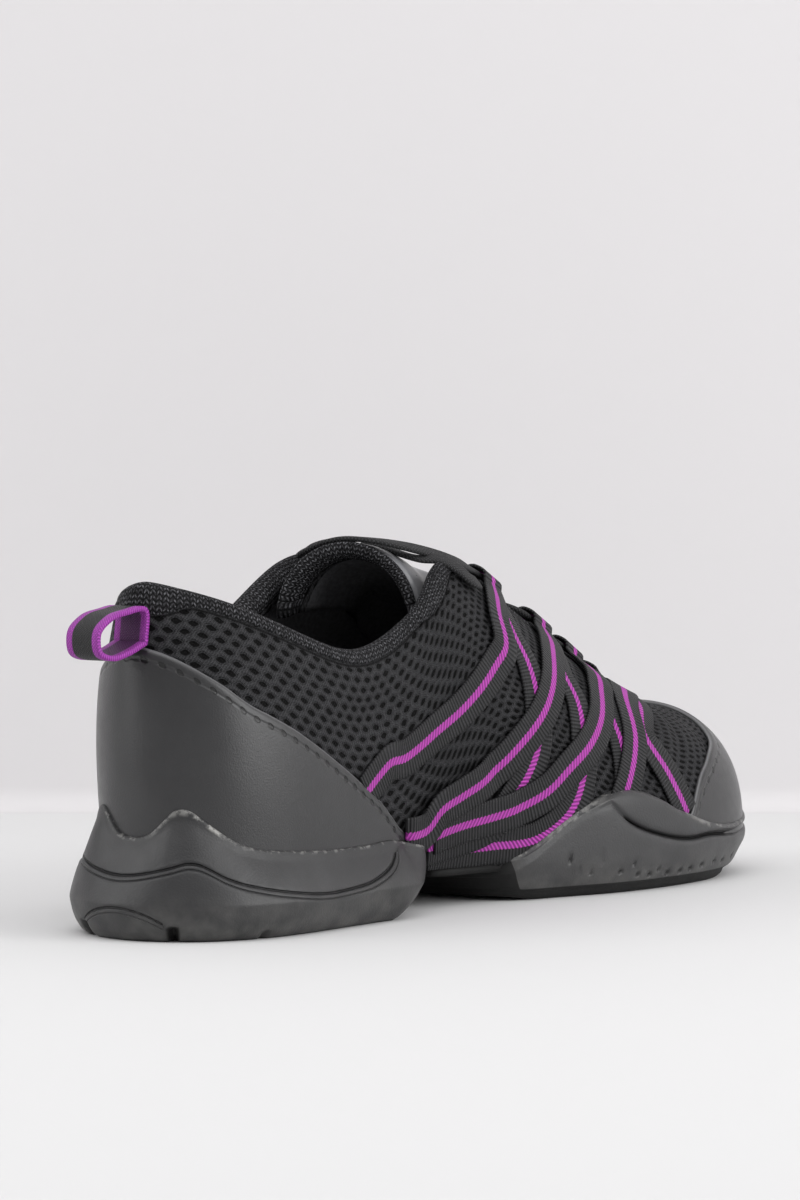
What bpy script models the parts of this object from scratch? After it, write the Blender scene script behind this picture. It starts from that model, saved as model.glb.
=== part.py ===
# Split-sole dance sneaker: the left shoe of a woman's EU 38 pair, empty and laced.
# Metres. +X points to the toe, +Y to the shoe's outer side, +Z up, and z = 0 is the floor.
# The tables are in millimetres, with x counted from the rearmost point of the heel sole.

import math

import bmesh
import bpy
import numpy as np

MM = 0.001
SHOE = "dance_sneaker"

# Driving sizes, in millimetres
SOLE_LENGTH = 258.5
BOX_CENTRE = (123.8, 0.3)  # x and y of the middle of the whole shoe, which becomes the origin
GAP = 0.3  # clearance between two pieces that touch on the real shoe
WALL = 2.2  # spacer mesh with its lining
COLLAR_PAD = 6.5  # thickness of the padded collar
CORNER_PAD = 3.4  # thickness where the collar meets the tongue
OVERLAY = 1.0  # leather of heel counter and toe cap
RIM_THICK = 1.6  # rubber at the rim of the soles
RIBBON_WIDTH = 10.0
RIBBON_THICK = 0.6
LACE_WIDTH = 5.0
LACE_THICK = 1.5
LOOP_LIFT = 14.0  # degrees by which the lace loops rise from the throat's edge towards the middle
INSOLE_THICK = 3.5
PULL_WIDTH = 10.0
PULL_THICK = 1.3
SPOKES_A_SIDE = 32
WALL_STEPS = 10

# The upper, a row for each spoke from the sole's edge up to the collar or throat, all round the shoe.
# foot x y z, top x y z, then the wall's handles: lean of the lower one in degrees outwards and its
# length, fall of the upper one in degrees below level and its length.
SPOKES = [
    ("heel", 11, 0, 13.5, 9.5, 0, 87.5, 7, 26, 86, 24),
    ("heel corner in", 17, -14.5, 13.5, 17, -12, 85.5, 5, 28, 80, 26),
    ("heel side in", 35, -23.5, 13.5, 33, -20.5, 80, 5, 26, 80, 22),
    ("quarter in", 60, -25, 14, 57, -24, 71.5, 5, 20, 80, 18),
    ("waist in", 88, -24, 16, 80, -23.5, 69.5, 6, 20, 78, 18),
    ("arch in", 112, -23.5, 13.5, 101, -22, 79, 12, 22, 72, 22),
    ("instep corner in", 134, -29, 9.5, 115, -19.5, 91.5, 7, 28, 64, 26),
    ("ball in", 160, -37.5, 8, 140, -16, 84.5, 4, 28, 52, 28),
    ("joint in", 187, -42, 8, 167, -13.5, 72.3, 2, 28, 42, 26),
    ("toe side in", 213, -42.5, 9, 190, -12, 61, 2, 28, 30, 27),
    ("toe corner in", 238.5, -36.5, 11, 206, -9.5, 53.5, 1, 27, 18, 30),
    ("toe in", 251.7, -23.7, 13, 212.5, -5.5, 51, -3, 26, 6, 34),
    ("toe", 256, -8.5, 14.5, 214.5, -1, 50.3, -6, 26, 3, 34),
    ("toe out", 251.2, 6.3, 13.5, 212.5, 3.5, 51, -5, 26, 6, 33),
    ("toe corner out", 238, 20, 11.5, 206, 8.5, 53.5, -2, 26, 18, 27),
    ("toe side out", 214, 32, 9.5, 190, 12, 61, 0, 27, 30, 25),
    ("joint out", 186, 39.5, 8, 167, 13.5, 72.3, 2, 27, 42, 26),
    ("ball out", 156, 43, 8, 140, 16, 84.5, 3, 27, 50, 28),
    ("instep corner out", 130, 40, 9.5, 112, 21, 93, 3, 28, 62, 26),
    ("arch out", 108, 36, 13.5, 96, 24.5, 88.5, 4, 24, 66, 24),
    ("waist out", 84, 32, 15, 79, 25.5, 78, 4, 20, 74, 20),
    ("quarter out", 58, 28, 14, 57, 25, 72, 5, 20, 78, 18),
    ("heel side out", 35, 24.5, 13.5, 33, 21.5, 79.5, 5, 26, 78, 22),
    ("heel corner out", 17, 14.5, 13.5, 17, 12, 84.5, 5, 28, 78, 26),
]
TOE_ROW = 12
ARCH = (94, 136)  # x range where no sole covers the upper, so that its cloth goes on underneath

# Outlines of the two soles at their widest, x and y, starting at the rear and going along the inner side
HEEL_PLAN = [
    ("back", 0, 0),
    ("back corner in", 6, -18),
    ("seat in", 20, -28.5),
    ("side in", 45, -33),
    ("waist in", 72, -33),
    ("front corner in", 97, -29),
    ("front in", 104.5, -14),
    ("front", 105, 3),
    ("front out", 103, 19),
    ("front corner out", 94, 35),
    ("waist out", 70, 36.5),
    ("side out", 45, 34.5),
    ("seat out", 20, 29),
    ("back corner out", 6, 18),
]
HEEL_FRONT_ROW = 7
FOREFOOT_PLAN = [
    ("rear", 126, 4),
    ("rear in", 127.5, -18),
    ("rear corner in", 133, -30.5),
    ("arch in", 147, -36.5),
    ("ball in", 166, -43),
    ("joint in", 188, -46.5),
    ("toe side in", 214, -46),
    ("toe corner in", 240, -38),
    ("toe in", 254.5, -24),
    ("toe", 259.5, -8),
    ("toe out", 254.5, 8),
    ("toe corner out", 240, 21.5),
    ("toe side out", 216, 34.5),
    ("joint out", 188, 43.5),
    ("ball out", 160, 47.5),
    ("arch out", 143, 46.5),
    ("rear corner out", 129, 41),
    ("rear out", 125.5, 24),
]
FOREFOOT_TOE_ROW = 9
HEEL_SIDE_POINTS = 34
FOREFOOT_SIDE_POINTS = 36

# Rim of the heel cup and the lip below it: distance round the outline from the back, and height
HEEL_RIM = [
    (0, 27.5), (8, 30.5), (17, 34), (27, 31.5), (38, 26.5), (52, 23), (75, 21.5),
    (100, 21), (114, 18.5), (125, 16), (150, 14),
]
HEEL_LIP = [
    (0, 17.5), (8, 19), (19, 21), (34, 16), (52, 12), (75, 11.5), (92, 13.5),
    (103, 16), (112, 14), (125, 12), (150, 11),
]
# Rim of the front cup and the groove in its side: x and height
FOREFOOT_RIM_IN = [
    (125, 10.5), (133, 12), (141, 16), (149, 21), (158, 25.5), (171, 28.5), (184, 26), (196, 21),
    (214, 16), (232, 15.5), (248, 18), (260, 22),
]
FOREFOOT_RIM_OUT = [
    (125, 11), (136, 17), (148, 25), (158, 28), (170, 26.5), (184, 21),
    (204, 16), (226, 15), (246, 18), (260, 22),
]
GROOVE_IN = [(125, 9), (160, 25), (170, 19.5), (184, 14.5), (198, 12), (214, 12.5), (232, 14), (260, 18)]
GROOVE_OUT = [(125, 9), (148, 22), (160, 18), (176, 13.5), (198, 12), (224, 13), (260, 18)]

# Notches between the lugs at the edge of the heel's underside: x, y, turn in degrees, width, depth
HEEL_NOTCHES = [
    ("back in", 7, -15, 45, 3.2, 3.6),
    ("seat in", 28, -31, 80, 2.4, 2.2),
    ("back out", 7, 15, -45, 3.2, 3.6),
    ("seat out", 28, 31, -80, 2.4, 2.2),
]

# Top edge of the heel counter and rear edge of the toe cap, as x and height on the side
COUNTER_EDGE = [(9, 73.5), (14, 69.5), (27, 58.7), (42, 51.6), (63, 39.8), (78, 31.2), (90, 21.3)]
CAP_EDGE = [(202, 17), (206, 24.6), (211, 30), (219, 34.5), (229, 38.5), (236, 43)]

# Tongue rows: x, height of the middle, half width, side drop, how far the inner edge lies further forward
# than the outer edge, thickness. Rows with no drop follow the throat and lie under its edges.
TONGUE = [
    ("under vamp", 222, 0, 7, 0, 0, 2.2),
    ("vamp", 214, 0, 10, 0, 0, 2.4),
    ("lower", 204, 0, 15, 0, 0, 2.6),
    ("loop 3", 190, 0, 19, 0, 0, 2.8),
    ("loop 2", 174, 0, 21, 0, 0, 3),
    ("mid", 158, 0, 23, 0, 0, 3.4),
    ("loop 1", 143, 0, 23, 0, 0, 4),
    ("instep", 130, 0, 21.5, 0, 0, 4.4),
    ("corner", 120, 91.8, 15.6, 13.5, 2, 4.6),
    ("bend", 112, 95.0, 15.9, 16, 7, 4.8),
    ("top", 105, 96.9, 16.5, 18.5, 13, 4.8),
    ("edge", 100, 97.2, 16.7, 20, 17, 4.4),
]
TONGUE_COLUMNS = 11

# The eight ribbons, four a side: x of the lace loop at the throat's edge, then the centre lines of its
# rear and front legs down the side, as x and height. Rear legs lie over the front legs.
RIBBONS = {
    "ribbon_1": {
        "loop": 143,
        "rear": [(134, 77), (132, 69.5), (125, 63), (118, 57.3), (111, 52.6), (102, 48.4), (91, 43), (82, 40)],
        "front": [(140, 71.5), (141.5, 64), (141.5, 52), (139.5, 40), (133, 29.5), (123, 21.5)],
    },
    "ribbon_2": {
        "loop": 171,
        "rear": [(156, 63.5), (149, 57), (143, 51), (134, 43.5), (122, 35.2), (111, 30.5), (103, 26.5)],
        "front": [(160, 60), (160.5, 53), (159, 45), (157, 37), (155.6, 32)],
    },
    "ribbon_3": {
        "loop": 188.5,
        "rear": [(175, 53.5), (168, 47), (160, 41), (151, 35.4), (143, 29.6), (134, 26), (124, 24)],
        "front": [(175.5, 48), (175.5, 41), (175, 36), (174.6, 32.3)],
    },
    "ribbon_4": {
        "loop": 205.6,
        "rear": [(187, 50), (181.5, 40.5), (175, 31.5)],
        "front": [(188.5, 42), (193.3, 33), (196.6, 26.6)],
    },
}
LEG_LIFT = 1.15  # how much higher a ribbon runs where it crosses over another

# Top strand of the lace from the inner side's first loop over the tongue, and the one from the outer side
STRAND_OUT = [(128, -13.2, 92.2), (117, -11, 95.6), (107, -5, 98.3), (99, 4, 98.5), (96, 12, 96.6), (102, 17, 95.2)]
STRAND_IN = [(130, 13, 92.4), (121, 11, 95.2), (114, 4, 97.6), (113.5, -5, 97.2), (119, -11.5, 94.8)]
# Pull loop on the back of the heel: x and height round its middle line
PULL_LOOP = [(7.5, 74.9), (0, 72.4), (-6, 71.6), (-10.6, 73.4), (-11, 77.8), (-6.4, 81.4), (0, 82.8), (7.6, 83)]


def loop_through(rows, count, turn_row):
    """Points of the smooth closed curve through the rows, with count points from the first row to
    turn_row and as many back, evenly spaced along each half. Every column is carried along."""
    values = np.array([row[1:] for row in rows], float)
    values = np.vstack([values, values[:1]])
    steps = np.linalg.norm(np.diff(values[:, : min(3, values.shape[1])], axis=0), axis=1)
    knots = np.concatenate([[0], np.cumsum(steps)])
    slopes = periodic_slopes(steps, values)
    fine = np.linspace(0, knots[-1], 4001)
    curve = hermite(knots, values, slopes, fine)
    travelled = np.concatenate([[0], np.cumsum(np.linalg.norm(np.diff(curve[:, :2], axis=0), axis=1))])
    turn = np.interp(knots[turn_row], fine, travelled)
    wanted = np.concatenate([
        np.linspace(0, turn, count, endpoint=False),
        np.linspace(turn, travelled[-1], count, endpoint=False),
    ])
    return hermite(knots, values, slopes, np.interp(wanted, travelled, fine))


def periodic_slopes(steps, values):
    """Slopes at the knots that make a closed cubic curve smooth in its second derivative."""
    count = len(steps)
    system = np.zeros((count, count))
    right = np.zeros((count, values.shape[1]))
    chords = np.diff(values, axis=0) / steps[:, None]
    for i in range(count):
        before = i - 1
        system[i, before] += steps[i]
        system[i, i] += 2 * (steps[before] + steps[i])
        system[i, (i + 1) % count] += steps[before]
        right[i] = 3 * (steps[i] * chords[before] + steps[before] * chords[i])
    slopes = np.linalg.solve(system, right)
    return np.vstack([slopes, slopes[:1]])


def hermite(knots, values, slopes, at):
    i = np.clip(np.searchsorted(knots, at, side="right") - 1, 0, len(knots) - 2)
    step = (knots[i + 1] - knots[i])[:, None]
    u = ((at - knots[i]))[:, None] / step
    return (
        (1 + 2 * u) * (1 - u) ** 2 * values[i]
        + u * (1 - u) ** 2 * step * slopes[i]
        + u**2 * (3 - 2 * u) * values[i + 1]
        + u**2 * (u - 1) * step * slopes[i + 1]
    )


def curve_through(xs, ys, at):
    """A smooth open curve y(x) through a few points, with slopes from the neighbours."""
    xs = np.array(xs, float)
    ys = np.array(ys, float)[:, None]
    slopes = np.gradient(ys[:, 0], xs)[:, None]
    return hermite(xs, ys, slopes, np.clip(np.asarray(at, float), xs[0], xs[-1]).ravel())[:, 0].reshape(np.shape(at))


def smooth_step(value, low, high):
    u = np.clip((np.asarray(value, float) - low) / (high - low), 0, 1)
    return u * u * (3 - 2 * u)


def outward(loop):
    """Unit normals of a closed plan outline, pointing away from it. The loops run clockwise seen
    from above when they start at the heel and go along the inner side, so the left hand is outside."""
    along = np.roll(loop[:, :2], -1, axis=0) - np.roll(loop[:, :2], 1, axis=0)
    normals = np.stack([along[:, 1], -along[:, 0]], axis=1)
    return normals / np.linalg.norm(normals, axis=1)[:, None]


def spoke_loop(count=SPOKES_A_SIDE):
    return loop_through(SPOKES, count, TOE_ROW)


def wall_surface(loop, steps):
    """The upper's outer surface: a grid with a row for each step from foot to top, and a column for
    each spoke. A spoke is a Bezier curve between foot and top, shaped by the two handles."""
    foot, top = loop[:, 0:3], loop[:, 3:6]
    lean, rise, fall, reach = (loop[:, k] for k in range(6, 10))
    out = outward(loop)
    flat = np.concatenate([out, np.zeros((len(out), 1))], axis=1)
    up = np.array([0, 0, 1.0])
    run = foot[:, :2] - top[:, :2]
    far = smooth_step(np.linalg.norm(run, axis=1), 6, 30)[:, None]
    mixed = out * (1 - 0.5 * far) + 0.5 * far * run / np.maximum(np.linalg.norm(run, axis=1), 1e-6)[:, None]
    mixed = mixed / np.linalg.norm(mixed, axis=1)[:, None]
    level = np.concatenate([mixed, np.zeros((len(out), 1))], axis=1)
    lean, fall = np.radians(lean)[:, None], np.radians(fall)[:, None]
    low = foot + rise[:, None] * (flat * np.sin(lean) + up * np.cos(lean))
    high = top + reach[:, None] * (level * np.cos(fall) - up * np.sin(fall))
    t = np.asarray(steps, float)[:, None, None]
    return (1 - t) ** 3 * foot + 3 * t * (1 - t) ** 2 * low + 3 * t**2 * (1 - t) * high + t**3 * top


def grid_normals(grid):
    """Outward unit normals of a grid whose columns go round the shoe."""
    across = np.roll(grid, -1, axis=1) - np.roll(grid, 1, axis=1)
    up = np.gradient(grid, axis=0)
    normals = np.cross(across, up)
    return normals / np.linalg.norm(normals, axis=2)[:, :, None]


def collar_share(loop):
    """1 along the collar, 0 along the throat, worked out from the spokes' order round the shoe."""
    top_x = loop[:, 3]
    return 1 - smooth_step(top_x, 96, 114)


def material(name, colour, roughness, metallic=0.0):
    made = bpy.data.materials.new(name)
    made.use_nodes = True
    shader = made.node_tree.nodes["Principled BSDF"]
    shader.inputs["Base Color"].default_value = (*colour, 1)
    shader.inputs["Roughness"].default_value = roughness
    shader.inputs["Metallic"].default_value = metallic
    made.diffuse_color = (*colour, 1)
    return made


def put_in(name, points, faces, finish, collection, smooth=35):
    """A new object from points in millimetres, with its faces turned outwards."""
    mesh = bpy.data.meshes.new(name)
    mesh.from_pydata((np.asarray(points) * MM).tolist(), [], [tuple(int(v) for v in face) for face in faces])
    work = bmesh.new()
    work.from_mesh(mesh)
    bmesh.ops.remove_doubles(work, verts=work.verts, dist=1e-6)
    bmesh.ops.recalc_face_normals(work, faces=work.faces)
    work.to_mesh(mesh)
    work.free()
    obj = bpy.data.objects.new(name, mesh)
    obj.location = (-BOX_CENTRE[0] * MM, -BOX_CENTRE[1] * MM, 0)
    collection.objects.link(obj)
    if finish:
        mesh.materials.append(finish)
    if smooth:
        mesh.shade_smooth()
        mesh.set_sharp_from_angle(angle=math.radians(smooth))
    return obj


def ring_faces(low, high, count):
    """Quads between two closed rings of the same count, given their first index."""
    i = np.arange(count)
    j = (i + 1) % count
    return np.stack([low + i, low + j, high + j, high + i], axis=1)


def ladder_faces(first, count, start=0, stop=None, flip=False):
    """Rungs across a closed ring from its inner to its outer side, between two rung numbers."""
    half = count // 2
    stop = half if stop is None else stop
    faces = []
    for i in range(start, stop):
        corners = [first + i, first + i + 1, first + (count - i - 1) % count, first + (count - i) % count]
        corners = list(dict.fromkeys(corners))
        faces.append(corners[::-1] if flip else corners)
    return faces


def stacked(rings):
    """Points and faces of a solid made of closed rings from its underside to its top."""
    count = len(rings[0])
    faces = []
    for k in range(len(rings) - 1):
        faces += ring_faces(k * count, (k + 1) * count, count).tolist()
    faces += ladder_faces(0, count, flip=True)
    faces += ladder_faces((len(rings) - 1) * count, count)
    return np.vstack(rings), faces


def cut(obj, cutter, operation="DIFFERENCE"):
    change = obj.modifiers.new(cutter.name, "BOOLEAN")
    change.operation = operation
    change.solver = "EXACT"
    change.object = cutter


def arch_share(x):
    """1 where the upper closes underneath, falling to 0 over the soles."""
    return smooth_step(x, ARCH[0] - 12, ARCH[0] - 2) * (1 - smooth_step(x, ARCH[1] + 2, ARCH[1] + 12))


def wall_thickness(loop, steps):
    """Thickness of the upper at each step of each spoke: it swells to the padded collar."""
    collar = collar_share(loop)
    top = WALL + 0.4 + collar * (COLLAR_PAD - WALL - 0.4)
    corner = np.exp(-(((loop[:, 3] - 108) / 9) ** 2))
    top = top * (1 - corner) + CORNER_PAD * corner
    return WALL + smooth_step(steps, 0.5, 0.92)[:, None] * (top - WALL)[None, :]


def make_upper(finish, parts):
    """Outer wall, rounded crest and inner wall, with cloth under the arch between the two soles."""
    loop = spoke_loop()
    steps = np.linspace(0, 1, WALL_STEPS)
    outer = wall_surface(loop, steps)
    normals = grid_normals(outer)
    thick = wall_thickness(loop, steps)
    inner = outer - normals * thick[:, :, None]
    over_arch = arch_share(loop[:, 0])
    inner[0, :, 2] = outer[0, :, 2] + 0.2 + (WALL - 0.2) * over_arch
    crest = (outer[-1] + inner[-1]) / 2
    crest[:, 2] += thick[-1] * 0.3
    rings = [*outer, crest, *inner[::-1]]
    count = outer.shape[1]
    faces = []
    for k in range(len(rings) - 1):
        faces += ring_faces(k * count, (k + 1) * count, count).tolist()
    last = (len(rings) - 1) * count
    half = count // 2
    foot_x = outer[0][:, 0]
    inside = [i for i in range(1, half) if ARCH[0] <= foot_x[i] <= ARCH[1]]
    first_rung, last_rung = inside[0], inside[-1]
    covered = set(range(first_rung, last_rung))
    covered |= {count - 1 - i for i in covered}
    for i in range(count):
        if i not in covered:
            j = (i + 1) % count
            faces.append([i, last + i, last + j, j])
    faces += ladder_faces(0, count, first_rung, last_rung, flip=True)
    faces += ladder_faces(last, count, first_rung, last_rung)
    for i in (first_rung, last_rung):
        faces.append([i, count - i, last + count - i, last + i])
    return put_in("upper", np.vstack(rings), faces, finish, parts)


def upper_form(name, offset, helpers):
    """The whole space inside the upper's outer surface, grown by the clearance that offset(x) gives."""
    loop = spoke_loop()
    outer = wall_surface(loop, np.linspace(0, 1, 16))
    normals = grid_normals(outer)
    grown = outer + normals * offset(outer[:, :, 0])[:, :, None]
    grown[0, :, 2] = outer[0, :, 2] - GAP
    points, faces = stacked(list(grown))
    form = put_in(name, points, faces, None, helpers, smooth=0)
    form.hide_render = True
    form.display_type = "WIRE"
    return form


def sole_ring(plan, z, inset, rake=None):
    """One closed ring of a sole: its outline drawn in by inset, at height z. Both may vary round it."""
    flat = plan[:, :2] - outward(plan) * np.broadcast_to(inset, len(plan))[:, None]
    if rake is not None:
        flat[:, 0] += rake
    return np.column_stack([flat, np.broadcast_to(z, len(plan))])


def room_to_upper(plan, z):
    """How far each point of a sole's outline lies outside the upper's surface at height z, counted
    along the outline's inward normal."""
    wall = wall_surface(spoke_loop(150), np.linspace(0, 1, 60))
    z = np.broadcast_to(z, len(plan))
    normals = outward(plan)
    room = np.zeros(len(plan))
    for i, (point, normal) in enumerate(zip(plan[:, :2], normals)):
        level = np.abs(wall[:, :, 2] - z[i]).argmin(axis=0)
        loop = wall[level, np.arange(wall.shape[1]), :2] - point
        deep = -loop @ normal
        aside = np.abs(loop @ np.array([-normal[1], normal[0]])) + 100 * (np.abs(deep) > 20)
        room[i] = deep[aside.argmin()]
    return room


def make_heel_sole(finish, form, parts, helpers):
    """A moulded cup: flared wall with a wavy rim, a lip below a second wave, and lugs cut underneath."""
    plan = loop_through(HEEL_PLAN, HEEL_SIDE_POINTS, HEEL_FRONT_ROW)
    girth = np.concatenate([[0], np.cumsum(np.linalg.norm(np.diff(plan, axis=0), axis=1))])
    total = girth[-1] + np.linalg.norm(plan[0] - plan[-1])
    from_back = np.minimum(girth, total - girth)
    rim = curve_through(*zip(*HEEL_RIM), from_back)
    lip = curve_through(*zip(*HEEL_LIP), from_back)
    front = smooth_step(plan[:, 0], 88, 101)
    edge = room_to_upper(plan, rim) - 2 * GAP - OVERLAY - RIM_THICK
    edge = np.clip(edge, 0.6, 6) * (1 - front) + 1.2 * front
    rake = -6.0 * front
    rings = [
        sole_ring(plan, 0, 4.6, rake),
        sole_ring(plan, 1.0, 3.2, 0.9 * rake),
        sole_ring(plan, 5.0, 0.8, 0.6 * rake),
        sole_ring(plan, 9.0, 0, 0.3 * rake),
        sole_ring(plan, lip - 1.6, 0.1 + 0.1 * edge),
        sole_ring(plan, lip - 0.3, 0.6 + 0.15 * edge),
        sole_ring(plan, lip + 0.5, 1.1 + 0.25 * edge),
        sole_ring(plan, lip + 2.2, 0.9 + 0.35 * edge),
        sole_ring(plan, np.maximum(rim - 1.2, lip + 2.8), 0.9 * edge),
        sole_ring(plan, np.maximum(rim, lip + 3.4), edge + 0.5),
    ]
    points, faces = stacked(rings)
    sole = put_in("heel_sole", points, faces, finish, parts)
    cut(sole, form)
    for name, x, y, turn, width, depth in HEEL_NOTCHES:
        cut(sole, notch(name, (x, y), turn, width, depth, helpers))


def notch(name, spot, turn, width, depth, helpers):
    """A block that cuts a short slot in from the edge of a sole's underside."""
    corners = np.array([(x, y, z) for z in (-1.0, depth) for x, y in ((-7, -1), (7, -1), (7, 1), (-7, 1))])
    corners[:, 1] *= width / 2 * np.where(corners[:, 2] > 0, 0.7, 1.0)
    angle = math.radians(turn)
    turned = corners[:, 0] * math.cos(angle) - corners[:, 1] * math.sin(angle) + spot[0]
    corners[:, 1] = corners[:, 0] * math.sin(angle) + corners[:, 1] * math.cos(angle) + spot[1]
    corners[:, 0] = turned
    faces = ring_faces(0, 4, 4).tolist() + [[3, 2, 1, 0], [4, 5, 6, 7]]
    block = put_in("notch " + name, corners, faces, None, helpers, smooth=0)
    block.hide_render = True
    block.display_type = "WIRE"
    return block


def cap_room(x):
    """Clearance of the front cup round the upper: more where the toe cap lies between them."""
    return GAP + (2 * GAP + OVERLAY) * smooth_step(x, 193, 199)


def make_forefoot_sole(finish, form, parts, helpers):
    """The front cup: its rim rises over the ball and at the toe, and a pad under it meets the floor."""
    plan = loop_through(FOREFOOT_PLAN, FOREFOOT_SIDE_POINTS, FOREFOOT_TOE_ROW)
    x = plan[:, 0]
    inner = plan[:, 1] < -6
    rim = np.where(inner, curve_through(*zip(*FOREFOOT_RIM_IN), x), curve_through(*zip(*FOREFOOT_RIM_OUT), x))
    groove = np.where(inner, curve_through(*zip(*GROOVE_IN), x), curve_through(*zip(*GROOVE_OUT), x))
    groove = np.minimum(groove, rim - 2.4)
    grooved = smooth_step(x, 156, 172)
    rear = 1 - smooth_step(x, 129, 146)
    toe = smooth_step(x, 212, 250)
    spring = 3.0 * toe
    edge = np.clip(room_to_upper(plan, rim) - cap_room(x) - RIM_THICK + 0.2, 0.1, 4)
    rings = [
        sole_ring(plan, 1.2 * rear, 5.0 + 3.5 * toe),
        sole_ring(plan, 0.8 + 1.4 * rear, 4.0 + 3.5 * toe),
        sole_ring(plan, 2.6 + 0.8 * rear, 3.2 + 4.0 * toe),
        sole_ring(plan, 3.0 + 0.8 * rear, 2.4 + 2.8 * toe),
        sole_ring(plan, 6.0 + 0.4 * rear + 0.4 * spring, 1.3 + 1.0 * toe),
        sole_ring(plan, np.minimum(10.0, groove - 1.8), 0.2),
        sole_ring(plan, groove - 0.8, 0.1),
        sole_ring(plan, groove, 0.1 + 0.9 * grooved),
        sole_ring(plan, groove + 0.7, 0.2 + 0.3 * grooved),
        sole_ring(plan, rim - 0.9, np.minimum(0.7, edge)),
        sole_ring(plan, rim, edge + 0.5),
    ]
    points, faces = stacked(rings)
    sole = put_in("forefoot_sole", points, faces, finish, parts)
    cut(sole, form)


def looked_up(flat, values, at):
    """Values at some 2-D places, from a grid whose own 2-D places are flat[row, column]."""
    rows, columns = flat.shape[:2]
    index = np.arange(rows * columns).reshape(rows, columns)
    a, b, c, d = index[:-1, :-1], index[:-1, 1:], index[1:, 1:], index[1:, :-1]
    corners = np.vstack([
        np.column_stack([a.ravel(), b.ravel(), c.ravel()]),
        np.column_stack([a.ravel(), c.ravel(), d.ravel()]),
    ])
    first, second, third = (flat.reshape(-1, 2)[corners[:, k]] for k in range(3))

    def area(u, v):
        return u[..., 0] * v[..., 1] - u[..., 1] * v[..., 0]

    whole = area(second - first, third - first)
    whole = np.where(np.abs(whole) < 1e-6, 1e-6, whole)
    away = np.asarray(at, float)[:, None] - first
    share_b = area(away, third - first) / whole
    share_c = area(second - first, away) / whole
    shares = np.stack([1 - share_b - share_c, share_b, share_c])
    best = shares.min(axis=0).argmax(axis=1)
    picked = shares[:, np.arange(len(best)), best]
    table = values.reshape(rows * columns, -1)
    return sum(picked[k][:, None] * table[corners[best, k]] for k in range(3))


def side_table(side):
    """The upper's outer surface on one side, as a grid of places in side view with points and normals
    there. Past the throat's edge it goes on straight for a little."""
    loop = spoke_loop(64)
    wall = wall_surface(loop, np.linspace(0, 1, 30))
    normals = grid_normals(wall)
    half = slice(0, 65) if side < 0 else slice(64, 128)
    wall, normals = wall[:, half], normals[:, half]
    keep = (wall[0, :, 0] > 22) & (wall[0, :, 0] < 250)
    wall, normals = wall[:, keep], normals[:, keep]
    edge = wall[-1] - wall[-2]
    edge = edge / np.linalg.norm(edge, axis=1)[:, None]
    edge *= 1 - 0.97 * smooth_step(wall[0, :, 0], 222, 238)[:, None]
    further = [wall[-1] + edge * away for away in (3, 7)]
    points = np.concatenate([wall, further])
    normals = np.concatenate([normals, normals[-1:], normals[-1:]])
    return points[:, :, [0, 2]], np.concatenate([points, normals], axis=2), wall[-1], normals[-1]


def unit(vectors):
    return vectors / np.linalg.norm(vectors, axis=-1, keepdims=True)


def path_through(points, spacing=1.0):
    """Closely spaced points along the smooth curve through a few points."""
    points = np.array(points, float)
    knots = np.concatenate([[0], np.cumsum(np.linalg.norm(np.diff(points, axis=0), axis=1))])
    slopes = np.gradient(points, knots, axis=0)
    return hermite(knots, points, slopes, np.linspace(0, knots[-1], int(knots[-1] / spacing) + 2))


def evenly(points, count, start=0.0):
    """Indices of count points spread evenly along a dense path, from a distance start to its end."""
    travelled = np.concatenate([[0], np.cumsum(np.linalg.norm(np.diff(points, axis=0), axis=1))])
    return np.abs(travelled[:, None] - np.linspace(start, travelled[-1], count)).argmin(axis=0)


def throat_frame(side, x, edge, edge_normals):
    """Point of the throat's edge at x, with the directions along it, across to the middle and up."""
    order = np.argsort(edge[:, 0])
    point = np.array([np.interp(x, edge[order, 0], edge[order, k]) for k in range(3)])
    ahead = np.array([np.interp(x + 2, edge[order, 0], edge[order, k]) for k in range(3)])
    normal = unit(np.array([np.interp(x, edge[order, 0], edge_normals[order, k]) for k in range(3)]))
    along = unit(ahead - point)
    across = np.array([0, -side, 0.0])
    across = unit(across - along * (across @ along))
    up = np.cross(along, across) * -side
    up = up if up[2] > 0 else -up
    lift = math.radians(LOOP_LIFT)
    inward = across * math.cos(lift) + up * math.sin(lift)
    rise = up * math.cos(lift) - across * math.sin(lift)
    return point, along, inward, rise, normal


# Round a lace loop, in the plane across the throat's edge: distance inwards and height, of the ribbon's
# middle layer, from the rear leg over and back under to the front leg
LOOP_SHAPE = [(0, 2.1), (0.9, 3.8), (3.4, 4.5), (6, 4.2), (7.4, 2.7), (6.4, 1.2), (3.5, 0.85), (0.6, 0.85)]


def leg_path(side, frame, rows, table):
    """Dense centre line of a ribbon leg on the surface, with normals, from the throat's edge down."""
    flat, values = table
    path = path_through([(frame[0][0], frame[0][2]), *rows])
    found = looked_up(flat, values, path)
    return found[:, :3], unit(found[:, 3:])


def lifted(legs):
    """Height of every ribbon leg above the upper, listed from the lowest leg to the highest."""
    base = 0.65
    heights = []
    for k, (points, _) in enumerate(legs):
        height = np.full(len(points), base)
        for other, (lower, _) in zip(heights, legs[:k]):
            away = np.linalg.norm(points[:, None] - lower[None], axis=2)
            nearest = away.argmin(axis=1)
            share = 1 - smooth_step(away.min(axis=1), 10.5, 14.5)
            height = np.maximum(height, base + share * (other[nearest] + LEG_LIFT - base))
        heights.append(height)
    return heights


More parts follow.
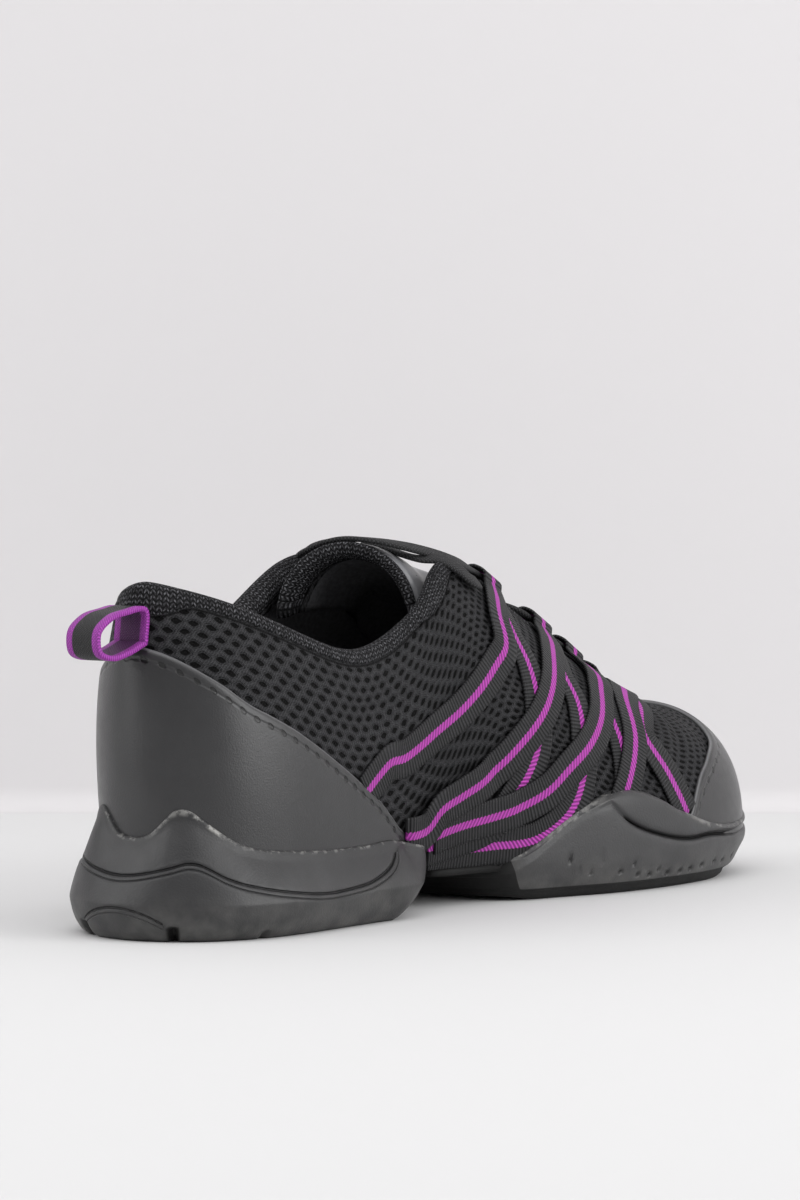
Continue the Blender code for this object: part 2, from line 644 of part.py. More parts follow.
def leg_sections(side, points, normals, heights, picked, table):
    """Bottom and top points of a ribbon leg: edge, middle and edge for each section."""
    flat, values = table
    along = unit(np.gradient(points, axis=0))
    wide = unit(np.cross(normals, along))
    bottoms, tops = [], []
    for share in (-0.5, 0, 0.5):
        spots = points[picked] + wide[picked] * RIBBON_WIDTH * share
        found = looked_up(flat, values, spots[:, [0, 2]])
        up = unit(found[:, 3:])
        bottoms.append(found[:, :3] + up * heights[picked, None])
        tops.append(found[:, :3] + up * (heights[picked, None] + RIBBON_THICK))
    return np.stack(bottoms, axis=1), np.stack(tops, axis=1), wide[picked]


def loop_sections(frame):
    """The folded loop at the throat's edge: inside and outside points of each section."""
    point, along, inward, rise, normal = frame
    shape = np.array(LOOP_SHAPE)
    run = unit(np.gradient(shape, axis=0))
    out = np.column_stack([-run[:, 1], run[:, 0]])
    inner, outer = [], []
    for (i, n), (a, b) in zip(shape, out):
        spot = point + inward * i + rise * n
        face = inward * a + rise * b
        inner.append([spot - face * RIBBON_THICK / 2 + along * w for w in (-5, 0, 5)])
        outer.append([spot + face * RIBBON_THICK / 2 + along * w for w in (-5, 0, 5)])
    return np.array(inner), np.array(outer)


def band(inside, outside):
    """A closed strip from the inside and outside points of its sections."""
    rings = [np.vstack([a, b[::-1]]) for a, b in zip(inside, outside)]
    count = len(rings[0])
    faces = []
    for k in range(len(rings) - 1):
        faces += ring_faces(k * count, (k + 1) * count, count).tolist()
    faces.append(list(range(count))[::-1])
    faces.append(list(range((len(rings) - 1) * count, len(rings) * count)))
    return np.vstack(rings), faces


def make_ribbons(finish, parts):
    """Each ribbon climbs the side, folds into a lace loop past the throat's edge and goes back down."""
    frames = {}
    for side, place in ((-1, "in"), (1, "out")):
        flat, values, edge, edge_normals = side_table(side)
        table = (flat, values)
        legs = []
        for name, ribbon in RIBBONS.items():
            frames[side, name] = throat_frame(side, ribbon["loop"], edge, edge_normals)
        order = [(name, "front") for name in reversed(RIBBONS)] + [(name, "rear") for name in reversed(RIBBONS)]
        for name, leg in order:
            legs.append(leg_path(side, frames[side, name], RIBBONS[name][leg], table))
        heights = dict(zip(order, lifted(legs)))
        legs = dict(zip(order, legs))
        for name in RIBBONS:
            frame = frames[side, name]
            inner, outer = loop_sections(frame)
            insides, outsides = [inner], [outer]
            for leg in ("rear", "front"):
                points, normals = legs[name, leg]
                length = np.linalg.norm(np.diff(points, axis=0), axis=1).sum()
                picked = evenly(points, max(4, int(length / 8.5)), 4.5)
                low, high, wide = leg_sections(side, points, normals, heights[name, leg], picked, table)
                if wide[0] @ frame[1] < 0:
                    low, high = low[:, ::-1], high[:, ::-1]
                if leg == "rear":
                    insides.insert(0, low[::-1])
                    outsides.insert(0, high[::-1])
                else:
                    insides.append(high)
                    outsides.append(low)
            points, faces = band(np.concatenate(insides), np.concatenate(outsides))
            put_in(f"{name}_{place}", points, faces, finish, parts)
    return frames


def make_laces(finish, frames, parts, helpers):
    """One flat lace, criss-crossed through the loops, whose top strands go over the tongue. The two
    halves cross on the shoe's middle line, where they're joined."""
    names = list(RIBBONS)

    def through(side, name):
        point, along, inward, rise, normal = frames[side, name]
        middle = point + inward * 3.6 + rise * 2.45
        return [np.array([*(middle + along * away), *rise, 0.66]) for away in (-6.2, 0, 5.8)]

    halves = []
    for first in (-1, 1):
        route = []
        for k, name in enumerate(names):
            route += through(first * (-1) ** k, name)
        halves.append(route)
    far = halves[1][-1]
    halves[0].append((halves[0][-1] + far) / 2 + np.array([3, 0, -0.6, 0, 0, 0, 0.3]))
    halves[0].append(far)
    for route, strand in zip(halves, (STRAND_OUT, STRAND_IN)):
        route[:0] = [np.array([*spot, 0.1, spot[1] / 20, 1, 1]) for spot in reversed(strand)]
    solids = []
    for k, route in enumerate(halves):
        route = np.array(route)
        path = path_through(route)
        picked = evenly(path, int(len(path) / 6.5))
        path, lean, share = path[:, :3], path[:, 3:6], np.clip(path[:, 6:], 0.6, 1)
        along = unit(np.gradient(path, axis=0))
        wide = unit(np.cross(lean, along))
        face = np.cross(along, wide)
        wide = wide * share
        low = [path - face * LACE_THICK / 2 + wide * LACE_WIDTH * w for w in (-0.5, 0.5)]
        high = [path + face * LACE_THICK / 2 + wide * LACE_WIDTH * w for w in (-0.5, 0.5)]
        points, faces = band(np.stack(low, axis=1)[picked], np.stack(high, axis=1)[picked])
        solids.append(put_in("laces" if k == 0 else "other half", points, faces, finish, parts if k == 0 else helpers))
    solids[1].hide_render = True
    solids[1].display_type = "WIRE"
    cut(solids[0], solids[1], "UNION")


def make_insole(finish, parts):
    """A flat sock inside the upper, resting in the two cups and over the cloth of the arch."""
    loop = spoke_loop(22)
    foot = loop[:, :3]
    rise = 0.3 + WALL * arch_share(foot[:, 0])
    rings = []
    for inset, height in ((4.0, 0), (3.6, 0.8), (3.6, INSOLE_THICK - 0.6), (4.2, INSOLE_THICK)):
        rings.append(sole_ring(foot, foot[:, 2] + rise + height, inset))
    points, faces = stacked(rings)
    put_in("insole", points, faces, finish, parts)


def tongue_top():
    """Grid of the tongue's top surface: a row for each line of its table."""
    loop = spoke_loop(48)
    steps = np.linspace(0.35, 1, 24)
    outer = wall_surface(loop, steps)
    under = outer - grid_normals(outer) * (wall_thickness(loop, steps) + 1.0)[:, :, None]
    roof = np.concatenate([under, under[:, :1]], axis=1)
    edge = under[-1]
    inner = edge[:49][np.argsort(edge[:49, 0])]
    outside = edge[48:][np.argsort(edge[48:, 0])]
    rows = []
    for _, x, middle, half, drop, skew, _ in TONGUE:
        turn = np.radians(np.linspace(-90, 90, TONGUE_COLUMNS))
        y = half * np.sin(turn)
        if drop:
            z = middle - drop * (1 - np.cos(turn))
            rows.append(np.column_stack([x - skew / 2 * np.sin(turn), y + 0.7, z]))
            continue
        covered = looked_up(roof[:, :, :2], roof[:, :, 2], np.column_stack([np.full(len(y), x), y]))[:, 0]
        low = np.array([np.interp(x, inner[:, 0], inner[:, k]) for k in (1, 2)])
        high = np.array([np.interp(x, outside[:, 0], outside[:, k]) for k in (1, 2)])
        share = np.clip((y - low[0]) / max(high[0] - low[0], 1e-6), 0, 1)
        open_height = low[1] + share * (high[1] - low[1]) + 4 * 1.4 * share * (1 - share)
        inside = (share > 0) & (share < 1) & (x < inner[:, 0].max())
        rows.append(np.column_stack([np.full(len(y), x), y, np.where(inside, open_height, covered)]))
    return np.array(rows)


def make_tongue(finish, parts):
    """A padded tongue under the throat, arched and free above it."""
    top = tongue_top()
    normals = unit(np.cross(np.gradient(top, axis=1), np.gradient(top, axis=0)))
    normals *= np.sign(normals[:, TONGUE_COLUMNS // 2, 2])[:, None, None]
    thick = np.array([row[6] for row in TONGUE])[:, None] * np.ones(TONGUE_COLUMNS)
    thick[:, [0, -1]] *= 0.55
    low = top - normals * thick[:, :, None]
    points, faces = band(low, top)
    put_in("tongue", points, faces, finish, parts, smooth=50)


def overlay(name, loop, tops, finish, parts, steps=8):
    """A leather piece over the upper, from its foot up to a share of each spoke given by tops."""
    share = np.linspace(0, 1, steps)[:, None] * tops[None, :]
    low = np.clip(share, 0.012, 1)
    fine = wall_surface(loop, np.linspace(0, 1, 60))
    normals = grid_normals(fine)
    at = low * 59
    first = np.clip(at.astype(int), 0, 58)
    rest = (at - first)[:, :, None]
    column = np.arange(len(loop))[None, :]
    picked = (tops > 0)
    points = fine[first, column] * (1 - rest) + fine[first + 1, column] * rest
    up = unit(normals[first, column] * (1 - rest) + normals[first + 1, column] * rest)
    order = np.flatnonzero(picked)
    breaks = np.flatnonzero(np.diff(order) > 1)
    if len(breaks):
        order = np.concatenate([order[breaks[0] + 1 :], order[: breaks[0] + 1]])
    points, up = points[:, order], up[:, order]
    inside = (points + up * GAP).transpose(1, 0, 2)
    outside = (points + up * (GAP + OVERLAY)).transpose(1, 0, 2)
    corners, faces = band(inside, outside)
    put_in(name, corners, faces, finish, parts)


def make_overlays(finish, parts):
    """Heel counter and toe cap, cut from the upper's own surface along their edges in side view."""
    loop = spoke_loop()
    fine = wall_surface(loop, np.linspace(0, 1, 60))
    x, z = fine[:, :, 0], fine[:, :, 2]
    edge_x, edge_z = zip(*COUNTER_EDGE)
    below = z < np.interp(x, edge_x, edge_z)
    tops = below.argmin(axis=0) / 59
    tops = np.where(fine[0, :, 0] < COUNTER_EDGE[-1][0], tops, 0)
    overlay("heel_counter", loop, tops, finish, parts)
    edge_x, edge_z = zip(*CAP_EDGE)
    ahead = x > np.interp(z, edge_z, edge_x)
    tops = ahead.argmin(axis=0) / 59
    tops = np.where(fine[0, :, 0] > CAP_EDGE[0][0], tops, 0)
    overlay("toe_cap", loop, tops, finish, parts)


def make_pull_loop(finish, parts):
    """A woven tab folded into a ring, with its open end sewn down on the back of the heel."""
    path = path_through([*PULL_LOOP, PULL_LOOP[0]])[:-1]
    path = path[evenly(path, 19)]
    closed = np.vstack([path[-1:], path, path[:1]])
    along = unit(closed[2:] - closed[:-2])
    out = np.column_stack([along[:, 1], -along[:, 0]])
    rings = []
    for shift, y in ((-0.5, -0.5), (-0.5, 0.5), (0.5, 0.5), (0.5, -0.5)):
        flat = path + out * PULL_THICK * shift
        rings.append(np.column_stack([flat[:, 0], np.full(len(flat), PULL_WIDTH * y), flat[:, 1]]))
    count = len(path)
    faces = []
    for k in range(4):
        faces += ring_faces(k * count, (k + 1) % 4 * count, count).tolist()
    put_in("pull_loop", np.vstack(rings), faces, finish, parts)


def main():
    for obj in list(bpy.data.objects):
        bpy.data.objects.remove(obj)
    parts = bpy.data.collections.new(SHOE)
    helpers = bpy.data.collections.new("cutters")
    for collection in (parts, helpers):
        bpy.context.scene.collection.children.link(collection)
    helpers.hide_render = True
    mesh_cloth = material("black spacer mesh", (0.022, 0.022, 0.023), 0.85)
    rubber = material("black moulded rubber", (0.03, 0.03, 0.031), 0.55)
    leather = material("black coated leather", (0.03, 0.03, 0.032), 0.4)
    grosgrain = material("black grosgrain ribbon", (0.02, 0.02, 0.022), 0.7)
    cord = material("black flat lace", (0.018, 0.018, 0.019), 0.8)
    sock = material("black sock lining", (0.02, 0.02, 0.02), 0.9)
    make_upper(mesh_cloth, parts)
    behind = upper_form("heel form", lambda x: np.full(x.shape, 2 * GAP + OVERLAY), helpers)
    before = upper_form("forefoot form", cap_room, helpers)
    make_heel_sole(rubber, behind, parts, helpers)
    make_forefoot_sole(rubber, before, parts, helpers)
    make_insole(sock, parts)
    make_tongue(mesh_cloth, parts)
    make_overlays(leather, parts)
    frames = make_ribbons(grosgrain, parts)
    make_laces(cord, frames, parts, helpers)
    make_pull_loop(grosgrain, parts)


main()
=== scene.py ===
# Looks of the black split-sole dance sneaker: spacer mesh, ribbons, laces, leather and moulded rubber.
# Tables are in millimetres in the shoe's own frame, with x from the rearmost point of the heel sole.

import functools
import math

import bmesh
import bpy
import numpy as np
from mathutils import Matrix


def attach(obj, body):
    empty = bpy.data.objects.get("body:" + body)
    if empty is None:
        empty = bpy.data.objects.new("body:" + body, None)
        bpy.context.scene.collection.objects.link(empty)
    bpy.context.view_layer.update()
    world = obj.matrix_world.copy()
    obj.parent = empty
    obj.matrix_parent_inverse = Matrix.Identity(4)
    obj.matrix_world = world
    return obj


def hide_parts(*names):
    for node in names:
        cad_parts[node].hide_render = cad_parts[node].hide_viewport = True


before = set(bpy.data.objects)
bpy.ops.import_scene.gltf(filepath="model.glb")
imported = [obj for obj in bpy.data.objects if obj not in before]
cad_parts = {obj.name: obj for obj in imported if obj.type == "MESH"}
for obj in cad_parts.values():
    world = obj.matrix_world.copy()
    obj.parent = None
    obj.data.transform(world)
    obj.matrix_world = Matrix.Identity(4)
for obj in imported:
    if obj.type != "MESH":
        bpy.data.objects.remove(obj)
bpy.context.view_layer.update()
print("frame loaded")

mm = 0.001
shoeMiddle = np.array([123.8, 0.3, 0])

# Spokes of the upper: foot x y z, top x y z, lean and length of the lower handle, fall and length of
# the upper handle. They start at the heel, go along the inner side to the toe, and back.
spokes = [
    (11, 0, 13.5, 9.5, 0, 87.5, 7, 26, 86, 24),
    (17, -14.5, 13.5, 17, -12, 85.5, 5, 28, 80, 26),
    (35, -23.5, 13.5, 33, -20.5, 80, 5, 26, 80, 22),
    (60, -25, 14, 57, -24, 71.5, 5, 20, 80, 18),
    (88, -24, 16, 80, -23.5, 69.5, 6, 20, 78, 18),
    (112, -23.5, 13.5, 101, -22, 79, 12, 22, 72, 22),
    (134, -29, 9.5, 115, -19.5, 91.5, 7, 28, 64, 26),
    (160, -37.5, 8, 140, -16, 84.5, 4, 28, 52, 28),
    (187, -42, 8, 167, -13.5, 72.3, 2, 28, 42, 26),
    (213, -42.5, 9, 190, -12, 61, 2, 28, 30, 27),
    (238.5, -36.5, 11, 206, -9.5, 53.5, 1, 27, 18, 30),
    (251.7, -23.7, 13, 212.5, -5.5, 51, -3, 26, 6, 34),
    (256, -8.5, 14.5, 214.5, -1, 50.3, -6, 26, 3, 34),
    (251.2, 6.3, 13.5, 212.5, 3.5, 51, -5, 26, 6, 33),
    (238, 20, 11.5, 206, 8.5, 53.5, -2, 26, 18, 27),
    (214, 32, 9.5, 190, 12, 61, 0, 27, 30, 25),
    (186, 39.5, 8, 167, 13.5, 72.3, 2, 27, 42, 26),
    (156, 43, 8, 140, 16, 84.5, 3, 27, 50, 28),
    (130, 40, 9.5, 112, 21, 93, 3, 28, 62, 26),
    (108, 36, 13.5, 96, 24.5, 88.5, 4, 24, 66, 24),
    (84, 32, 15, 79, 25.5, 78, 4, 20, 74, 20),
    (58, 28, 14, 57, 25, 72, 5, 20, 78, 18),
    (35, 24.5, 13.5, 33, 21.5, 79.5, 5, 26, 78, 22),
    (17, 14.5, 13.5, 17, 12, 84.5, 5, 28, 78, 26),
]
toeSpoke = 12


# Curves

# Slopes at the knots of a closed curve of cubics, which make its bending even across each knot
def periodicSlopes(steps, values):
    count = len(steps)
    system = np.zeros((count, count))
    right = np.zeros((count, values.shape[1]))
    chords = np.diff(values, axis=0) / steps[:, None]
    for i in range(count):
        system[i, i - 1] += steps[i]
        system[i, i] += 2 * (steps[i - 1] + steps[i])
        system[i, (i + 1) % count] += steps[i - 1]
        right[i] = 3 * (steps[i] * chords[i - 1] + steps[i - 1] * chords[i])
    slopes = np.linalg.solve(system, right)
    return np.vstack([slopes, slopes[:1]])


# A cubic between each two knots, from the values and the slopes at both
def hermite(knots, values, slopes, at):
    i = np.clip(np.searchsorted(knots, at, side="right") - 1, 0, len(knots) - 2)
    step = (knots[i + 1] - knots[i])[:, None]
    u = (at - knots[i])[:, None] / step
    return (
        (1 + 2 * u) * (1 - u) ** 2 * values[i]
        + u * (1 - u) ** 2 * step * slopes[i]
        + u**2 * (3 - 2 * u) * values[i + 1]
        + u**2 * (u - 1) * step * slopes[i + 1]
    )


# A closed smooth curve through the rows, with count even steps from the first row to turnRow and
# count more back to it.
def loopThrough(rows, count, turnRow):
    values = np.array(rows, float)
    values = np.vstack([values, values[:1]])
    steps = np.linalg.norm(np.diff(values[:, : min(3, values.shape[1])], axis=0), axis=1)
    knots = np.concatenate([[0], np.cumsum(steps)])
    slopes = periodicSlopes(steps, values)
    fine = np.linspace(0, knots[-1], 4001)
    curve = hermite(knots, values, slopes, fine)
    travelled = np.concatenate([[0], np.cumsum(np.linalg.norm(np.diff(curve[:, :2], axis=0), axis=1))])
    turn = np.interp(knots[turnRow], fine, travelled)
    wanted = np.concatenate([
        np.linspace(0, turn, count, endpoint=False),
        np.linspace(turn, travelled[-1], count, endpoint=False),
    ])
    return hermite(knots, values, slopes, np.interp(wanted, travelled, fine))


# A smooth curve through pairs of x and y, level beyond its ends
def curveThrough(pairs, at):
    xs, ys = np.array(pairs, float).T
    slopes = np.gradient(ys, xs)[:, None]
    flat = np.clip(np.asarray(at, float), xs[0], xs[-1]).ravel()
    return hermite(xs, ys[:, None], slopes, flat)[:, 0].reshape(np.shape(at))


# Evenly spaced points on a smooth path through the given ones
def pathThrough(points, spacing=1.0):
    points = np.array(points, float)
    knots = np.concatenate([[0], np.cumsum(np.linalg.norm(np.diff(points, axis=0), axis=1))])
    slopes = np.gradient(points, knots, axis=0)
    return hermite(knots, points, slopes, np.linspace(0, knots[-1], int(knots[-1] / spacing) + 2))


# 0 below low and 1 above high, and between them three times u squared less two times u cubed
def smoothStep(value, low, high):
    u = np.clip((np.asarray(value, float) - low) / (high - low), 0, 1)
    return u * u * (3 - 2 * u)


# A bell, 1 at its middle and about a third at half to each side of it
def bump(value, middle, half):
    return np.exp(-(((np.asarray(value, float) - middle) / half) ** 2))


# Vectors divided by their own lengths
def unit(vectors):
    return vectors / np.maximum(np.linalg.norm(vectors, axis=-1, keepdims=True), 1e-12)


# Level directions out of a closed loop, square to the line between each point's neighbours
def outward(loop):
    along = np.roll(loop[:, :2], -1, axis=0) - np.roll(loop[:, :2], 1, axis=0)
    return unit(np.stack([along[:, 1], -along[:, 0]], axis=1))


# Level 3-D directions, from their x and y
def levelWays(flat):
    return np.column_stack([flat, np.zeros(len(flat))])


# The upper's outer surface: rows from foot to top, columns round the shoe. Each spoke is a Bezier curve.
def wallSurface(loop, steps):
    foot, top = loop[:, 0:3], loop[:, 3:6]
    lean, rise, fall, reach = (loop[:, k] for k in range(6, 10))
    out = outward(loop)
    flat = levelWays(out)
    up = np.array([0, 0, 1.0])
    run = foot[:, :2] - top[:, :2]
    far = smoothStep(np.linalg.norm(run, axis=1), 6, 30)[:, None]
    mixed = unit(out * (1 - 0.5 * far) + 0.5 * far * unit(run))
    level = levelWays(mixed)
    lean, fall = np.radians(lean)[:, None], np.radians(fall)[:, None]
    low = foot + rise[:, None] * (flat * np.sin(lean) + up * np.cos(lean))
    high = top + reach[:, None] * (level * np.cos(fall) - up * np.sin(fall))
    t = np.asarray(steps, float)[:, None, None]
    return (1 - t) ** 3 * foot + 3 * t * (1 - t) ** 2 * low + 3 * t**2 * (1 - t) * high + t**3 * top


# Directions out of a closed wall, square to its rows and its columns
def gridNormals(grid):
    across = np.roll(grid, -1, axis=1) - np.roll(grid, 1, axis=1)
    return unit(np.cross(across, np.gradient(grid, axis=0)))


# The upper's thickness: least at the foot, more at the top, and most at the padded collar
def wallThickness(loop, steps):
    collar = 1 - smoothStep(loop[:, 3], 96, 114)
    top = 2.6 + collar * 3.9
    corner = bump(loop[:, 3], 108, 9)
    top = top * (1 - corner) + 3.4 * corner
    return 2.2 + smoothStep(steps, 0.5, 0.92)[:, None] * (top - 2.2)[None, :]


# Values at 2-D places, from a grid whose own 2-D places are flat[row, column]
def lookedUp(flat, values, at):
    rows, columns = flat.shape[:2]
    index = np.arange(rows * columns).reshape(rows, columns)
    a, b, c, d = index[:-1, :-1], index[:-1, 1:], index[1:, 1:], index[1:, :-1]
    corners = np.vstack([
        np.column_stack([a.ravel(), b.ravel(), c.ravel()]),
        np.column_stack([a.ravel(), c.ravel(), d.ravel()]),
    ])
    first, second, third = (flat.reshape(-1, 2)[corners[:, k]] for k in range(3))

    def area(u, v):
        return u[..., 0] * v[..., 1] - u[..., 1] * v[..., 0]

    whole = area(second - first, third - first)
    whole = np.where(np.abs(whole) < 1e-6, 1e-6, whole)
    table = values.reshape(rows * columns, -1)
    found = []
    for part in np.array_split(np.asarray(at, float), max(1, len(at) // 120)):
        away = part[:, None] - first
        shareB = area(away, third - first) / whole
        shareC = area(second - first, away) / whole
        shares = np.stack([1 - shareB - shareC, shareB, shareC])
        best = shares.min(axis=0).argmax(axis=1)
        picked = shares[:, np.arange(len(best)), best]
        found.append(sum(picked[k][:, None] * table[corners[best, k]] for k in range(3)))
    return np.concatenate(found)


# Meshes

# Adds an object with its data to the scene
def addObject(name, data):
    made = bpy.data.objects.new(name, data)
    bpy.context.scene.collection.objects.link(made)
    return made


# Changes a mesh by one operation
def changeMesh(mesh, operation):
    work = bmesh.new()
    work.from_mesh(mesh)
    operation(work)
    work.to_mesh(mesh)
    work.free()


# The cloth's coordinates at each point, from u and v that are each a row, a column or a whole grid
def clothPlaces(u, v):
    return np.stack(np.broadcast_arrays(u, v), axis=2)


# A piece from a grid of points. Rows and columns may close on themselves, uv has one more row or
# column where they do, and marks are numbers for each point that a material reads.
def gridPiece(name, points, uv, finish, wrapRows=False, wrapColumns=False, caps=False, marks=None):
    rows, columns = points.shape[:2]
    index = np.arange(rows * columns).reshape(rows, columns)
    if wrapRows:
        index = np.vstack([index, index[:1]])
    if wrapColumns:
        index = np.hstack([index, index[:, :1]])

    def corners(grid):
        return np.stack([grid[:-1, :-1], grid[:-1, 1:], grid[1:, 1:], grid[1:, :-1]], axis=2)

    faces = corners(index).reshape(-1, 4).tolist()
    places = corners(uv).reshape(-1, 2)
    if caps:
        for row in (0, rows - 1):
            faces.append(index[row, :columns].tolist())
            places = np.vstack([places, uv[row, :columns]])
    mesh = bpy.data.meshes.new(name)
    where = (points.reshape(-1, 3) - shoeMiddle) * mm
    mesh.from_pydata(where.tolist(), [], faces)
    layer = mesh.uv_layers.new(name="cloth")
    layer.data.foreach_set("uv", places.astype(np.float32).ravel())
    for mark, values in (marks or {}).items():
        attribute = mesh.attributes.new(mark, "FLOAT", "POINT")
        spread = np.broadcast_to(values, (rows, columns))
        attribute.data.foreach_set("value", spread.astype(np.float32).ravel())
    changeMesh(mesh, lambda work: bmesh.ops.recalc_face_normals(work, faces=work.faces))
    mesh.shade_smooth()
    piece = addObject(name, mesh)
    mesh.materials.append(finish)
    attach(piece, "root")
    return piece


# Gives each face of a piece one of its materials, by number
def chooseFinish(piece, index):
    piece.data.polygons.foreach_set("material_index", index.astype(np.int32))


# A grid with its first column once more at its end
def closedRound(grid):
    return np.concatenate([grid, grid[:, :1]], axis=1)


# Distances along each row or column of a grid, starting from 0
def travelled(grid, axis):
    steps = np.linalg.norm(np.diff(grid, axis=axis), axis=2)
    start = np.zeros_like(steps.take([0], axis=axis))
    return np.concatenate([start, np.cumsum(steps, axis=axis)], axis=axis)


# Materials

# An sRGB hex colour in the linear values that the shader takes
def linear(code):
    parts = [int(code[k : k + 2], 16) / 255 for k in (1, 3, 5)]
    return (*(p / 12.92 if p <= 0.04045 else ((p + 0.055) / 1.055) ** 2.4 for p in parts), 1)


# Links a socket to another node's output, or sets it to a value
def setInput(tree, socket, value):
    if isinstance(value, bpy.types.NodeSocket):
        tree.links.new(value, socket)
    else:
        socket.default_value = value


# What every node of these kinds has here
usualSettings = {
    "MapRange": {"interpolation_type": "SMOOTHSTEP"},
    "Mix": {"data_type": "RGBA"},
    "UVMap": {"uv_map": "cloth"},
}


# Adds a node with its settings, and sets or links the inputs that it shows, in their order. A kind in
# capitals is an operation of the Math node. The result is one output, by number or by name.
def addNode(tree, kind, *inputs, output=0, **settings):
    if kind.isupper():
        kind, settings = "Math", {"operation": kind}
    made = tree.nodes.new("ShaderNode" + kind)
    for key, value in {**usualSettings.get(kind, {}), **settings}.items():
        setattr(made, key, value)
    shown = [socket for socket in made.inputs if socket.enabled]
    for socket, value in zip(shown, inputs):
        setInput(tree, socket, value)
    if isinstance(output, str):
        return made.outputs[output]
    return [socket for socket in made.outputs if socket.enabled][output]


# A new material, and addNode for its own tree
def newFinish(name):
    made = bpy.data.materials.new(name)
    made.use_nodes = True
    return made, functools.partial(addNode, made.node_tree)


# Gives the shader its colour, roughness and relief, whose depth is in mm, and what is the same all over
def finishShader(made, colour, roughness, height, depth, **fixed):
    tree = made.node_tree
    shader = tree.nodes["Principled BSDF"]
    bumpWidth = 0.1
    setInput(tree, shader.inputs["Base Color"], colour)
    setInput(tree, shader.inputs["Roughness"], roughness)
    setInput(tree, shader.inputs["Normal"], addNode(tree, "Bump", 1.0, depth * mm, bumpWidth, height))
    names = {"specular": "Specular IOR Level", "coat": "Coat Weight", "coatRoughness": "Coat Roughness"}
    for key, value in fixed.items():
        shader.inputs[names[key]].default_value = value
    return made


# The cloth's coordinates u and v in mm, and the place on the object
def coordinates(add):
    u = add("SeparateXYZ", add("UVMap"))
    return u, u.node.outputs["Y"], add("TexCoord", output="Object")


# Paints layers over a colour, each with where it shows, how strongly, and its own colour
def painted(add, base, *layers):
    colour = linear(base)
    for where, strength, code in layers:
        colour = add("Mix", add("MULTIPLY", where, strength), colour, linear(code))
    return colour


# Fine ribs across a coordinate in mm, from 0 to 1: a sine wave of the given pitch
def ribs(add, value, pitch):
    return add("MULTIPLY_ADD", add("SINE", add("MULTIPLY", value, 2 * math.pi / pitch)), 0.5, 0.5)


# Threads that cross: ribs on u + v times ribs on u - v
def plait(add, u, v, pitch):
    return add("MULTIPLY", ribs(add, add("ADD", u, v), pitch), ribs(add, add("SUBTRACT", u, v), pitch))


# 1 where a value is middle, falling smoothly to 0 at half to each side of it
def lineAt(add, value, middle, half):
    away = add("ABSOLUTE", add("DIVIDE", add("SUBTRACT", value, middle), half))
    return add("MapRange", away, 0.0, 1.0, 1.0, 0.0)


# Pointed oval holes in staggered rows: how far a place is from a hole's middle, 1 at its edge. It is
# the root of a power sum of the distances along and across, each in half holes.
def awayFromHoles(add, u, v, look):
    power = 1.45
    row = add("DIVIDE", v, look["rowPitch"])
    stagger = add("MULTIPLY", add("FLOORED_MODULO", add("FLOOR", row), 2.0), 0.5)
    along = add("ADD", add("DIVIDE", u, look["pitch"]), stagger)
    parts = []
    sizes = ((along, look["pitch"], look["holeWide"]), (row, look["rowPitch"], look["holeHigh"]))
    for place, step, size in sizes:
        away = add("MULTIPLY", add("SUBTRACT", add("FRACT", place), 0.5), 2 * step / size)
        parts.append(add("POWER", add("ABSOLUTE", away), power))
    return add("POWER", add("ADD", *parts), 1 / power)


# Sizes in mm: hole pitch along a row and between rows, the holes, and the knitting's columns and rows
upperLook = {
    "thread": "#454547", "ground": "#151516", "hole": "#030303",
    "knitLight": "#77777b", "knitDark": "#0f0f10",
    "pitch": 4.9, "rowPitch": 2.6, "holeWide": 3.0, "holeHigh": 1.6, "knitPitch": 1.9, "knitRow": 1.35,
}


